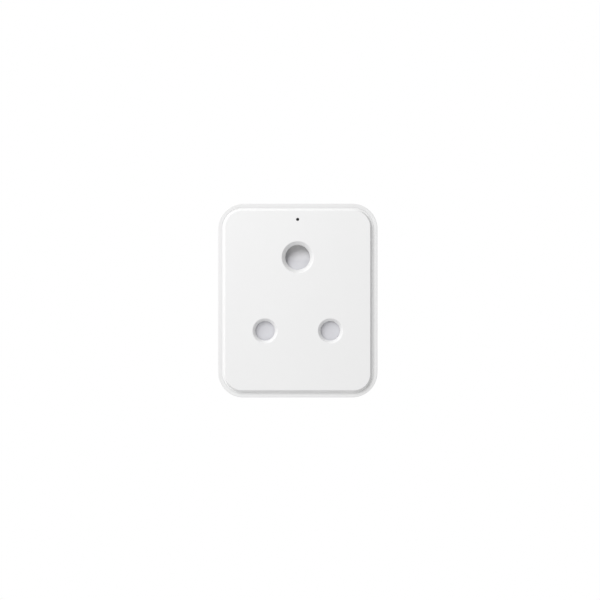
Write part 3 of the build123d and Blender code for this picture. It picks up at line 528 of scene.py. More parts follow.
def middle(node: str) -> Vector:
    """The centre of a node's box."""
    low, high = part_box(node)
    return (low + high) / 2


def mount_point(name: str) -> Vector:
    """The place of a mount of the record."""
    return Vector(next(m["pos_m"] for m in frame["record"]["mounts"] if m["name"] == name))


def dress(material: bpy.types.Material, *names: str) -> None:
    """Give nodes of the frame a material.

    Args:
        material: the finish.
        names: the nodes.
    """
    for name in names:
        for slot in frame["nodes"][name].material_slots:
            slot.material = material


def settle(piece: bpy.types.Object, body: str, nodes: list[str]) -> None:
    """Finish a piece: it rides on its body and stands for its plain solids.

    Args:
        piece: the finished piece.
        body: what it moves with.
        nodes: the plain solids that it stands for, if any.
    """
    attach(piece, body)
    if nodes:
        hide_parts(*nodes)
    log.info("%s: %d faces", piece.name, len(piece.data.polygons))


def point_mesh(name: str, points: list[Point]) -> bpy.types.Mesh:
    """Make a mesh of loose points, for a tree to set things on.

    Args:
        name: the mesh's name.
        points: where the points go.

    Returns:
        The mesh.
    """
    mesh = bpy.data.meshes.new(name)
    mesh.from_pydata(points, [], [])
    return mesh


def along_y(x: float, z: float) -> Matrix:
    """The place of a profile turned about the Y direction through (x, z)."""
    return Matrix.Translation((x, 0, z)) @ Matrix.Rotation(math.radians(-90), 4, "X")


def lead_points(node: str, band: float = 0.05 * MM, spread: float = 1.2 * MM) -> Outline:
    """Find where a part's leads end in front of the board.

    Args:
        node: the part.
        band: how far behind its foremost point a lead's end may lie.
        spread: how far apart points of one lead may lie.

    Returns:
        The (x, z) middle of each cluster of its foremost points.
    """
    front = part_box(node)[0].y
    groups: list[list[Vector]] = []
    for vertex in frame["nodes"][node].data.vertices:
        if vertex.co.y > front + band:
            continue
        near = next((g for g in groups if (g[0] - vertex.co).length < spread), None)
        if near is None:
            groups.append([vertex.co.copy()])
        else:
            near.append(vertex.co.copy())
    return [
        ((min(p.x for p in g) + max(p.x for p in g)) / 2, (min(p.z for p in g) + max(p.z for p in g)) / 2)
        for g in groups
    ]


# ---- Finishes ---------------------------------------------------------------------------------------


@dataclass(frozen=True)
class MouldedPlastic:
    """Injection-moulded plastic: fine orange peel, faint flow marks and handling smudges."""

    name: str
    colour: Colour
    roughness: float = 0.34
    peel: float = 0.10
    grain: float = 0.05
    coat: float = 0.0
    tint: float = 0.02

    def material(self) -> bpy.types.Material:
        """Build the finish.

        Returns:
            The material.
        """
        s = Shader(self.name)
        darker = tuple(c * (1 - self.tint) for c in self.colour)
        flow = s.noise(22, 2.0, (1, 1, 0.5))
        s.set(
            base_color=s.blend(flow, self.colour, darker),
            roughness=s.remap(s.noise(75, 4.0), self.roughness - 0.04, self.roughness + 0.05),
            ior=1.49,
            coat_weight=self.coat,
            coat_roughness=0.12,
        )
        s.relief([
            (s.noise(900, 2.0), self.peel, 0.02 * MM),
            (s.noise(9000, 2.0), self.grain, 0.01 * MM),
        ])
        return s.material


class Run(Enum):
    """Which way the fine lines of a metal run."""

    NONE = (1, 1, 1)
    ALONG_Y = (1, 0.03, 1)
    ROUND_Y = (0.15, 6, 0.15)
    ALONG_X = (0.03, 1, 1)


@dataclass(frozen=True)
class Metal:
    """Drawn, stamped or plated metal with fine lines, stains and small scratches."""

    name: str
    colour: Colour
    stain: Colour
    roughness: float = 0.28
    lines: Run = Run.NONE
    stain_share: float = 0.35
    scuffs: float = 0.0

    def material(self) -> bpy.types.Material:
        """Build the finish, with its lines, its stains and the scuffs that use leaves along Y.

        Returns:
            The material.
        """
        s = Shader(self.name)
        patches = s.remap(s.noise(160, 5.0), 0.0, self.stain_share, 0.45, 0.75)
        fine = s.noise(5200, 3.0, self.lines.value)
        rubbed = s.remap(s.noise(2600, 2.0, Run.ALONG_Y.value), 0.0, self.scuffs, 0.56, 0.68)
        worn = s.blend(rubbed, s.blend(patches, self.colour, self.stain), self.stain)
        base = s.remap(fine, self.roughness - 0.08, self.roughness + 0.12, 0.25, 0.75)
        rough = s.node("ShaderNodeMath", {0: rubbed, 1: 0.2, 2: base}, operation="MULTIPLY_ADD")
        s.set(base_color=worn, metallic=1.0, roughness=rough.outputs[0])
        s.relief([(fine, 0.10, 0.01 * MM), (s.noise(380, 2.0), 0.06, 0.03 * MM), (rubbed, 0.15, 0.01 * MM)])
        return s.material


@dataclass(frozen=True)
class ShutterPlastic:
    """Natural acetal in a grey tone, with painted light: the ramp turns whiter towards its top, where the
    deep recess lies in shade.
    """

    name: str = "shutter_plastic"
    flap: Colour = (0.63, 0.63, 0.66)
    # painted light: a near-white tone for the top of the ramp, which lies in shade deep in the earth hole
    ramp_painted_light: Colour = (0.93, 0.93, 0.94)
    painted_light_start: float = 15.2 * MM
    painted_light_end: float = 20.5 * MM

    def material(self) -> bpy.types.Material:
        """Build the finish, with painted light that whitens the ramp towards its top.

        Returns:
            The material.
        """
        s = Shader(self.name)
        # painted light: the colour is blended from the grey tone to the near-white tone with height up the
        # ramp, to lift the shade at its deep top
        height = s.node("ShaderNodeSeparateXYZ", {"Vector": s.place}).outputs["Z"]
        share = s.remap(height, 0, 1, self.painted_light_start, self.painted_light_end)
        s.set(
            base_color=s.blend(share, self.flap, self.ramp_painted_light),
            roughness=s.remap(s.noise(90, 4.0), 0.38, 0.48),
            ior=1.48,
        )
        s.relief([(s.noise(1100, 2.0), 0.10, 0.02 * MM), (s.noise(9000, 2.0), 0.05, 0.01 * MM)])
        return s.material


@dataclass(frozen=True)
class Enamel:
    """Lacquered, dipped or coated surface: a glossy skin over a slightly uneven body."""

    name: str
    colour: Colour
    patch: Colour
    roughness: float = 0.3
    coat: float = 0.3
    metallic: float = 0.0
    waviness: float = 0.12
    scale: float = 700.0

    def material(self) -> bpy.types.Material:
        """Build the finish.

        Returns:
            The material.
        """
        s = Shader(self.name)
        s.set(
            base_color=s.blend(s.remap(s.noise(self.scale / 3, 3.0), 0, 1), self.colour, self.patch),
            metallic=self.metallic,
            roughness=s.remap(s.noise(self.scale, 3.0), self.roughness - 0.05, self.roughness + 0.1),
            coat_weight=self.coat,
            coat_roughness=0.08,
        )
        s.relief([(s.noise(self.scale, 2.0), self.waviness, 0.05 * MM)])
        return s.material


@dataclass(frozen=True)
class ClearPlastic:
    """Tinted see-through moulding with a faint haze."""

    name: str
    colour: Colour
    clear: float = 0.5
    roughness: float = 0.12

    def material(self) -> bpy.types.Material:
        """Build the finish.

        Returns:
            The material.
        """
        s = Shader(self.name)
        deeper = tuple(c * 0.7 for c in self.colour)
        s.set(
            base_color=s.blend(s.noise(500, 2.0), self.colour, deeper),
            transmission_weight=self.clear,
            roughness=s.remap(s.noise(1500, 3.0), self.roughness - 0.04, self.roughness + 0.08),
            ior=1.58,
        )
        s.relief([(s.noise(2500, 2.0), 0.05, 0.01 * MM)])
        return s.material


@dataclass(frozen=True)
class BrushedFoil:
    """Satin foil, brushed lengthwise, with a printed-on matt varnish."""

    name: str = "label_foil"
    colour: Colour = (0.66, 0.67, 0.68)

    def material(self) -> bpy.types.Material:
        """Build the finish.

        Returns:
            The material.
        """
        s = Shader(self.name)
        lines = s.noise(7000, 2.0, Run.ALONG_X.value)
        darker = tuple(c * 0.82 for c in self.colour)
        s.set(
            base_color=s.blend(lines, self.colour, darker),
            metallic=0.85,
            roughness=s.remap(lines, 0.32, 0.5),
        )
        s.relief([(lines, 0.12, 0.01 * MM), (s.noise(240, 2.0), 0.05, 0.05 * MM)])
        return s.material


@dataclass(frozen=True)
class CircuitBoard:
    """Glass-fibre board under solder mask, with copper tracks that show through it."""

    name: str
    mask: Colour = (0.012, 0.115, 0.045)
    track: Colour = (0.03, 0.24, 0.085)
    pitch: float = 1.9 * MM

    def material(self) -> bpy.types.Material:
        """Build the finish.

        Returns:
            The material.
        """
        s = Shader(self.name)
        parts = s.node("ShaderNodeSeparateXYZ", {"Vector": s.place}).outputs
        bands = []
        for axis in ("X", "Z"):
            scaled = s.node("ShaderNodeMath", {0: parts[axis], 1: self.pitch}, operation="DIVIDE")
            part = s.node("ShaderNodeMath", {0: scaled.outputs[0]}, operation="FRACT")
            bands.append(s.remap(part.outputs[0], 0, 1, 0.62, 0.66))
        zones = s.node("ShaderNodeTexVoronoi", {"Vector": s.place, "Scale": 110.0}, distance="MANHATTAN")
        choice = s.node("ShaderNodeSeparateColor", {"Color": zones.outputs["Color"]}).outputs
        across = s.remap(choice["Red"], 0, 1, 0.49, 0.51)
        tracks = s.node("ShaderNodeMix", {"Factor": across, "A": bands[0], "B": bands[1]}).outputs["Result"]
        pour = s.remap(choice["Green"], 0, 1, 0.69, 0.71)
        copper = s.node("ShaderNodeMath", {0: tracks, 1: pour}, operation="MAXIMUM").outputs[0]
        weave = s.noise(3200, 2.0, (1, 1, 0.3))
        s.set(
            base_color=s.blend(copper, self.mask, self.track),
            roughness=s.remap(s.noise(400, 3.0), 0.28, 0.42),
            coat_weight=0.25,
        )
        s.relief([(copper, 0.35, 0.035 * MM), (weave, 0.10, 0.01 * MM)])
        return s.material


@dataclass(frozen=True)
class Grit:
    """Pressed or sintered powder: dark, matt and speckled."""

    name: str
    colour: Colour
    fleck: Colour
    roughness: float = 0.68

    def material(self) -> bpy.types.Material:
        """Build the finish.

        Returns:
            The material.
        """
        s = Shader(self.name)
        grains = s.remap(s.noise(6500, 2.0), 0, 1, 0.5, 0.68)
        s.set(
            base_color=s.blend(grains, self.colour, self.fleck),
            roughness=s.remap(s.noise(500, 4.0), self.roughness - 0.1, self.roughness + 0.1),
        )
        s.relief([(s.noise(6500, 2.0), 0.25, 0.02 * MM), (s.noise(300, 3.0), 0.15, 0.05 * MM)])
        return s.material


@dataclass(frozen=True)
class BandedCoat:
    """Lacquered resistor body with painted rings round its X axis."""

    name: str = "resistor_coat"
    ground: Colour = (0.30, 0.52, 0.44)
    rings: tuple[tuple[float, Colour], ...] = (
        (-2.6 * MM, (0.32, 0.12, 0.03)),
        (-1.1 * MM, (0.02, 0.02, 0.02)),
        (0.4 * MM, (0.02, 0.02, 0.02)),
        (2.4 * MM, (0.62, 0.44, 0.10)),
    )
    ring_width: float = 0.75 * MM

    def material(self) -> bpy.types.Material:
        """Build the finish, with its rings measured from the middle of the resistor.

        Returns:
            The material.
        """
        s = Shader(self.name)
        across = s.node("ShaderNodeSeparateXYZ", {"Vector": s.place}).outputs["X"]
        centre = middle("fuse_resistor").x
        darker = tuple(c * 0.85 for c in self.ground)
        colour = s.blend(s.noise(500, 2.0), self.ground, darker)
        for offset, paint in self.rings:
            band = {0: across, 1: centre + offset, 2: self.ring_width / 2}
            inside = s.node("ShaderNodeMath", band, operation="COMPARE").outputs[0]
            colour = s.blend(inside, colour, paint)
        s.set(base_color=colour, roughness=s.remap(s.noise(900, 2.0), 0.3, 0.42), coat_weight=0.3)
        s.relief([(s.noise(700, 2.0), 0.12, 0.05 * MM)])
        return s.material


@dataclass(frozen=True)
class Finishes:
    """Every finish of the object, by what it is used on."""

    plate: MouldedPlastic = MouldedPlastic("plate_plastic", (0.83, 0.83, 0.83), 0.36, 0.08, 0.04, 0.0, 0.012)
    shell: MouldedPlastic = MouldedPlastic(
        "shell_plastic", (0.795, 0.795, 0.795), 0.36, 0.08, 0.04, 0.0, 0.012
    )
    shutter: ShutterPlastic = ShutterPlastic()
    carrier: MouldedPlastic = MouldedPlastic("carrier_plastic", (0.80, 0.79, 0.77), 0.42, tint=0.03)
    black: MouldedPlastic = MouldedPlastic("black_plastic", (0.018, 0.018, 0.02), 0.40, tint=0.15)
    epoxy: MouldedPlastic = MouldedPlastic("chip_epoxy", (0.022, 0.022, 0.024), 0.55, 0.2, 0.2, tint=0.2)
    film: MouldedPlastic = MouldedPlastic("film_box", (0.62, 0.42, 0.05), 0.35, tint=0.08)
    sleeve: MouldedPlastic = MouldedPlastic("shrink_sleeve", (0.012, 0.014, 0.03), 0.25, 0.25, 0.05, 0.3, 0.2)
    pins: Metal = Metal("nickel_plate", (0.66, 0.63, 0.58), (0.54, 0.50, 0.44), 0.22, Run.ROUND_Y, 0.25, 0.7)
    shield: Metal = Metal("tinned_shield", (0.70, 0.70, 0.70), (0.50, 0.50, 0.49), 0.32, Run.ALONG_X)
    zinc: Metal = Metal("zinc_plate", (0.64, 0.66, 0.69), (0.44, 0.44, 0.46), 0.34)
    spring: Metal = Metal("spring_steel", (0.52, 0.52, 0.53), (0.34, 0.33, 0.32), 0.26)
    iron: Metal = Metal("soft_iron", (0.50, 0.49, 0.47), (0.33, 0.31, 0.28), 0.4, Run.ALONG_X)
    brass: Metal = Metal("contact_brass", (0.80, 0.62, 0.30), (0.56, 0.38, 0.17), 0.27, Run.ALONG_Y, 0.5)
    manganin: Metal = Metal("manganin", (0.72, 0.50, 0.38), (0.47, 0.30, 0.22), 0.33, Run.ALONG_Y, 0.5)
    solder: Metal = Metal("solder", (0.72, 0.72, 0.73), (0.52, 0.52, 0.52), 0.2)
    aluminium: Metal = Metal("can_aluminium", (0.78, 0.78, 0.79), (0.6, 0.6, 0.6), 0.35)
    wire: Enamel = Enamel("enamelled_wire", (0.70, 0.27, 0.11), (0.52, 0.18, 0.07), 0.22, 0.6, 1.0, 0.08)
    varistor: Enamel = Enamel("varistor_coat", (0.03, 0.11, 0.36), (0.02, 0.08, 0.28), 0.3, 0.35)
    bobbin: MouldedPlastic = MouldedPlastic("bobbin_plastic", (0.58, 0.55, 0.47), 0.46, tint=0.05)
    ferrite: Grit = Grit("ferrite", (0.05, 0.05, 0.053), (0.12, 0.12, 0.125))
    ceramic: Grit = Grit("chip_ceramic", (0.035, 0.034, 0.034), (0.09, 0.085, 0.08), 0.5)
    smoked: ClearPlastic = ClearPlastic("smoked_pipe", (0.02, 0.02, 0.022), 0.25)
    lens: ClearPlastic = ClearPlastic("led_lens", (0.75, 0.16, 0.10), 0.6)
    foil: BrushedFoil = BrushedFoil()
    board: CircuitBoard = CircuitBoard("main_board_mask")
    radio: CircuitBoard = CircuitBoard("radio_board_mask", (0.01, 0.02, 0.09), (0.03, 0.06, 0.22), 1.1 * MM)
    resistor: BandedCoat = BandedCoat()

    def materials(self) -> Paints:
        """Build each finish once, by its field's name."""
        return {name: getattr(self, name).material() for name in self.__dataclass_fields__}


# ---- Outside ----------------------------------------------------------------------------------------


@dataclass
class FacePlate:
    """The raised plate with its sloping edge, its three funnelled holes and the indicator's pinhole."""

    radius: float = 8.25 * MM
    rise: float = 1.5 * MM
    shelf: float = 0.57 * MM
    shelf_drop: float = 0.06 * MM
    shelf_turn: float = 0.08 * MM
    slope_width: float = 0.83 * MM
    slope_steps: int = 14
    corner_tightening: float = 1.5
    flat_margin: float = 0.12 * MM
    seam_close: float = 0.07 * MM
    thickness: float = 2.4 * MM
    skirt: float = 1.8 * MM
    earth_bore: float = 4.8 * MM
    live_bore: float = 3.75 * MM
    earth_funnel: float = 1.4 * MM
    live_funnel: float = 1.05 * MM
    funnel_depth: float = 1.8 * MM
    lip_round: float = 0.18 * MM
    lip_steps: int = 6
    throat_share: float = 0.12
    throat_round: float = 0.1 * MM
    pinhole: float = 0.6 * MM
    pinhole_lip: float = 0.05 * MM
    hole_steps: int = 96
    corner_steps: int = 20
    crease: float = 40.0

    def slope(self) -> Outline:
        """Work out the plate's edge: the shelf that carries on the shell's rim, then the run up to the flat.

        Returns:
            Its (inset, depth) points, from the outside in.
        """
        foot = self.rise + RIM_DISH + self.shelf_drop
        points = [(0.0, self.rise + RIM_DISH), (self.shelf - self.shelf_turn, foot)]
        for i in range(self.slope_steps + 1):
            share = i / self.slope_steps
            points.append((self.shelf + share * self.slope_width, foot * (1 - share)))
        return points

    def funnel(self, bore: float, growth: float) -> Outline:
        """Work out the wall of a hole, from the plate's front, over a rounded lip, to its back.

        Args:
            bore: the hole's radius at the plate's back.
            growth: how much wider the funnel's mouth is.

        Returns:
            Its (radius, depth) points.
        """
        lip = self.lip_round
        run = Vector((growth, self.funnel_depth)).normalized()
        turn = math.atan2(run.y, run.x)
        mouth = bore + growth + lip * math.tan(turn / 2)
        points = [(mouth + self.flat_margin, 0)]
        for i in range(self.lip_steps + 1):
            angle = turn * i / self.lip_steps
            points.append((mouth - lip * math.sin(angle), lip * (1 - math.cos(angle))))
        points.append((bore + growth * self.throat_share, self.funnel_depth * (1 - self.throat_share)))
        points.append((bore, self.funnel_depth + self.throat_round))
        points.append((bore, self.thickness))
        return points

    def build(self, material: bpy.types.Material) -> bpy.types.Object:
        """Build the plate.

        Args:
            material: what it is moulded in.

        Returns:
            The piece.
        """
        low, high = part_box("face_plate")
        width, height, front = high.x - low.x, high.z - low.z, low.y
        bm = bmesh.new()

        def outline(inset: float, depth: float) -> Ring:
            """Add a ring of the plate's outline.

            Args:
                inset: how far it is drawn in.
                depth: how far it lies behind the front.

            Returns:
                Its points.
            """
            inset -= self.seam_close
            radius = self.radius - inset * self.corner_tightening
            shape = rounded_rectangle(width - 2 * inset, height - 2 * inset, radius, self.corner_steps)
            return ring(bm, shape, front + depth)

        front_rings = [outline(self.shelf + self.slope_width + self.flat_margin, 0)]
        front_rings += [outline(inset, depth) for inset, depth in reversed(self.slope())]
        back_rings = [
            front_rings[-1],
            outline(0, high.y - front),
            outline(self.skirt, high.y - front),
            outline(self.skirt, self.thickness),
        ]
        loft(bm, front_rings)
        loft(bm, back_rings)
        front_edges, back_edges = [front_rings[0]], [back_rings[-1]]
        pin_wall = [
            (self.pinhole + self.flat_margin, 0),
            (self.pinhole + self.pinhole_lip, 0),
            (self.pinhole, self.pinhole_lip),
            (self.pinhole, self.thickness),
        ]
        holes = [
            (mount_point("earth_socket"), self.funnel(self.earth_bore, self.earth_funnel)),
            (mount_point("line_socket"), self.funnel(self.live_bore, self.live_funnel)),
            (mount_point("neutral_socket"), self.funnel(self.live_bore, self.live_funnel)),
            (middle("light_pipe"), pin_wall),
        ]
        for centre, profile in holes:
            rings = [
                ring(bm, circle(radius, self.hole_steps), front + depth, centre.x, centre.z)
                for radius, depth in profile
            ]
            loft(bm, rings)
            front_edges.append(rings[0])
            back_edges.append(rings[-1])
        fill(bm, front_edges)
        fill(bm, back_edges)
        return from_bmesh("face_plate_moulding", bm, material, self.crease)

    def fit(self, material: bpy.types.Material) -> None:
        """Build the plate and put it in the place of its plain solid."""
        settle(self.build(material), "housing", ["face_plate"])


@dataclass
class Case:
    """The rounded shell, its rear cover, the side button, the blank foil and the four cover screws."""

    corner_radius: float = 9.8 * MM
    rim_inset: float = 1.2 * MM
    rim_facing: float = -0.95
    rim_flatness: float = 0.01 * MM
    crease: float = 30.0
    head_radius: float = 2.8 * MM
    head_height: float = 1.7 * MM
    shank_radius: float = 1.4 * MM
    thread_pitch: float = 1.1 * MM

    def shell(self, material: bpy.types.Material) -> bpy.types.Object:
        """Copy the shell's own mesh, merged, and dish its front rim towards the face plate.

        Args:
            material: what it is moulded in.

        Returns:
            The piece.
        """
        low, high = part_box("body_shell")
        bm = bmesh.new()
        bm.from_mesh(frame["nodes"]["body_shell"].data)
        bmesh.ops.remove_doubles(bm, verts=bm.verts, dist=MERGE)
        for vertex in bm.verts:
            if vertex.co.y < low.y + self.rim_flatness and self.inner(vertex.co, high):
                vertex.co.y += RIM_DISH
        bm.normal_update()
        bm.edges.index_update()
        rim = {
            face for face in bm.faces
            if face.calc_center_median().y < low.y + MM and face.normal.y < self.rim_facing
        }
        border = [edge.index for edge in bm.edges if sum(face in rim for face in edge.link_faces) == 1]
        mesh = bpy.data.meshes.new("shell_moulding")
        bm.to_mesh(mesh)
        bm.free()
        mesh.materials.clear()
        mesh.materials.append(material)
        smooth_by_angle(mesh, self.crease)
        for index in border:
            mesh.edges[index].use_edge_sharp = True
        return new_object("shell_moulding", mesh)

    def inner(self, point: Vector, corner: Vector) -> bool:
        """Tell whether a point of the rim lies on the edge of its opening.

        Args:
            point: the point.
            corner: the shell's highest corner.

        Returns:
            True on the opening's edge, and False on the outer edge.
        """
        dx = abs(point.x) - (corner.x - self.corner_radius)
        dz = abs(point.z) - (corner.z - self.corner_radius)
        if dx > 0 and dz > 0:
            return math.hypot(dx, dz) < self.corner_radius - self.rim_inset
        return self.corner_radius - max(dx, dz) > self.rim_inset

    def fit(self, paints: Paints) -> None:
        """Dress the case and drive its screws.

        Args:
            paints: the finishes by name.
        """
        dress(paints["shell"], "rear_cover", "power_button")
        settle(self.shell(paints["shell"]), "housing", ["body_shell"])
        dress(paints["foil"], "rating_plate")
        sizes = (self.head_radius, self.head_height, self.shank_radius, self.thread_pitch)
        Screws("cover_screws", *sizes).fit(paints["zinc"])
        log.info("case: shell, cover, button, foil and screws")


@dataclass
class Screws:
    """Four pan-head screws that face the wall, at the corners of their node's box."""

    node: str
    head_radius: float = 2.1 * MM
    head_height: float = 1.4 * MM
    shank_radius: float = 1.05 * MM
    thread_pitch: float = 0.8 * MM
    core_share: float = 0.86
    dome_share: float = 0.42
    dome_start: float = 0.3
    dome_power: float = 3.0
    cross_share: float = 0.62
    cross_reach: float = 1.05
    cross_width: float = 0.2
    thread_share: float = 0.82
    thread_end: float = 0.96
    ridge_share: float = 0.2

    def head(self, g: GeometryTree) -> Socket:
        """Make a domed head with a cross recess, its seat at the origin and its top up Z.

        Args:
            g: the tree that it joins.

        Returns:
            The head's mesh.
        """
        size = g.entry
        disc = g.node(
            "GeometryNodeMeshCylinder",
            {"Vertices": 40, "Side Segments": 3, "Fill Segments": 6, "Radius": size["head radius"],
             "Depth": size["head height"]},
        )
        place = g.node("GeometryNodeInputPosition").outputs[0]
        part = g.node("ShaderNodeSeparateXYZ", {0: place}).outputs
        flat = g.node("ShaderNodeVectorMath", {0: place, 1: (1, 1, 0)}, operation="MULTIPLY").outputs[0]
        reach = g.node("ShaderNodeVectorMath", {0: flat}, operation="LENGTH").outputs["Value"]
        share = g.math("POWER", g.math("DIVIDE", reach, size["head radius"]), self.dome_power)
        upper = g.math("GREATER_THAN", part["Z"], g.math("MULTIPLY", size["head height"], self.dome_start))
        drop = g.math("MULTIPLY", g.math("MULTIPLY", share, upper), g.math("MULTIPLY", size["dome"], -1.0))
        domed = g.node(
            "GeometryNodeSetPosition", {"Geometry": disc.outputs["Mesh"], "Offset": g.vector(0, 0, drop)}
        )
        seated = g.moved(domed.outputs[0], z=g.math("MULTIPLY", size["head height"], 0.5))
        wide = g.math("MULTIPLY", size["head radius"], self.cross_reach)
        thin = g.math("MULTIPLY", size["head radius"], self.cross_width)
        deep = g.math("MULTIPLY", size["recess"], 2.0)
        cut = g.node("GeometryNodeMeshBoolean", {0: seated}, operation="DIFFERENCE")
        for x, y in ((wide, thin), (thin, wide)):
            slot = g.node("GeometryNodeMeshCube", {"Size": g.vector(x, y, deep)})
            g.feed(cut.inputs[1], g.moved(slot.outputs["Mesh"], z=size["head height"]))
        return cut.outputs[0]

    def shank(self, g: GeometryTree) -> list[Socket]:
        """Make the shank and its thread, down Z from the origin.

        Args:
            g: the tree that they join.

        Returns:
            The shank's mesh and the thread's.
        """
        size = g.entry
        rod = g.node(
            "GeometryNodeMeshCylinder",
            {"Vertices": 24, "Side Segments": 1, "Radius": size["shank radius"],
             "Depth": size["shank length"]},
        )
        run = g.math("MULTIPLY", size["shank length"], self.thread_share)
        helix = g.helix(size["shank radius"], run, g.math("DIVIDE", run, size["pitch"]), 20)
        thread = g.wired(helix, g.math("MULTIPLY", size["pitch"], self.ridge_share), 4)
        return [
            g.moved(rod.outputs["Mesh"], z=g.math("MULTIPLY", size["shank length"], -0.5)),
            g.moved(thread, z=g.math("MULTIPLY", size["shank length"], -self.thread_end)),
        ]

    def tree(self, material: bpy.types.Material) -> GeometryTree:
        """Make the tree that sets a screw on every point, its head towards the wall.

        Args:
            material: what the screws are made of.

        Returns:
            The tree.
        """
        g = GeometryTree(
            self.node + "_tree",
            {"head radius": 2.0 * MM, "head height": 1.0 * MM, "shank radius": MM, "shank length": 8.0 * MM,
             "pitch": MM, "dome": 0.5 * MM, "recess": MM},
            takes_mesh=True,
        )
        screw = g.turned(g.joined([self.head(g), *self.shank(g)]), (-90, 0, 0))
        g.close(g.on_points(g.entry["Mesh"], screw), material)
        return g

    def fit(self, material: bpy.types.Material) -> None:
        """Set the screws in the place of their plain solids.

        Args:
            material: what they are made of.
        """
        low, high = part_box(self.node)
        x, z = high.x - self.head_radius, high.z - self.head_radius
        seat = high.y - self.head_height
        points = [(sx * x, seat, sz * z) for sx in (-1, 1) for sz in (-1, 1)]
        sizes = {
            "head radius": self.head_radius,
            "head height": self.head_height,
            "shank radius": self.shank_radius * self.core_share,
            "shank length": seat - low.y,
            "pitch": self.thread_pitch,
            "dome": self.head_height * self.dome_share,
            "recess": self.head_height * self.cross_share,
        }
        seats = point_mesh(self.node + "_points", points)
        piece = self.tree(material).build(self.node + "_threaded", sizes, seats)
        settle(piece, "housing", [self.node])


# ---- Socket and shutter -----------------------------------------------------------------------------


@dataclass
class SocketParts:
    """Plug pins, contacts, clips, rivets, links and the carrier that holds them."""

    poles: tuple[str, ...] = ("earth", "line", "neutral")

    def fit(self, paints: Paints) -> None:
        """Dress the conductors and their carrier.

        Args:
            paints: the finishes by name.
        """
        for pole in self.poles:
            dress(paints["pins"], f"{pole}_pin")
            dress(paints["brass"], f"{pole}_contact", f"{pole}_link")
            dress(paints["spring"], f"{pole}_contact_clip")
        dress(paints["brass"], "contact_rivets", "load_link")
        dress(paints["zinc"], "pin_nuts")
        dress(paints["carrier"], "contact_carrier")
        Screws("carrier_screws").fit(paints["zinc"])
        log.info("socket: pins, contacts, links and carrier")


@dataclass
class ShutterUnit:
    """The shutter and the coil spring that shuts it."""

    mean_radius: float = 1.7 * MM
    wire_radius: float = 0.25 * MM
    turns: float = 12.0
    closed_share: float = 0.09
    travel: float = 9.6 * MM

    def tree(self, material: bpy.types.Material) -> GeometryTree:
        """Make the tree of a coil up Z whose first and last turns lie close together.

        Args:
            material: what the spring is made of.

        Returns:
            The tree.
        """
        g = GeometryTree(
            "coil_spring_tree",
            {"radius": MM, "wire": 0.2 * MM, "turns": 10.0, "length": 20.0 * MM, "closed": 0.1, "x": 0.0,
             "y": 0.0, "z": 0.0},
        )
        size = g.entry
        along = g.node("GeometryNodeSplineParameter").outputs["Factor"]
        closed, rest = size["closed"], g.math("SUBTRACT", 1.0, size["closed"])
        tight = g.math("DIVIDE", g.math("MULTIPLY", size["wire"], 2.0), size["length"])
        wide = g.math("SUBTRACT", 1.0, g.math("MULTIPLY", tight, 2.0))
        rise = None
        for start, end, gain in ((0.0, closed, tight), (closed, rest, wide), (rest, 1.0, tight)):
            limits = {"Value": along, "From Min": start, "From Max": end, "To Max": gain}
            step = g.node("ShaderNodeMapRange", limits).outputs[0]
            rise = step if rise is None else g.math("ADD", rise, step)
        part = g.node("ShaderNodeSeparateXYZ", {0: g.node("GeometryNodeInputPosition").outputs[0]}).outputs
        place = g.vector(part["X"], part["Y"], g.math("MULTIPLY", rise, size["length"]))
        helix = g.helix(size["radius"], size["length"], size["turns"], 40)
        shaped = g.node("GeometryNodeSetPosition", {"Geometry": helix, "Position": place})
        coil = g.wired(shaped.outputs[0], size["wire"], 12)
        g.close(g.moved(coil, size["x"], size["y"], size["z"]), material)
        return g

    def fit(self, paints: Paints) -> None:
        """Dress the shutter and wind its spring.

        Args:
            paints: the finishes by name.
        """
        dress(paints["shutter"], "shutter")
        low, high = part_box("shutter_spring")
        centre = middle("shutter_spring")
        bottom = low.z + self.wire_radius
        length = high.z - low.z - 2 * self.wire_radius
        sizes = {
            "radius": self.mean_radius,
            "wire": self.wire_radius,
            "turns": self.turns,
            "length": length,
            "closed": self.closed_share,
            "x": centre.x,
            "y": centre.y,
            "z": bottom,
        }
        piece = self.tree(paints["spring"]).build("shutter_coil_spring", sizes)
        settle(piece, "housing", ["shutter_spring"])
        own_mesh(piece)
        log.info("shutter and its spring")


# ---- Power parts ------------------------------------------------------------------------------------


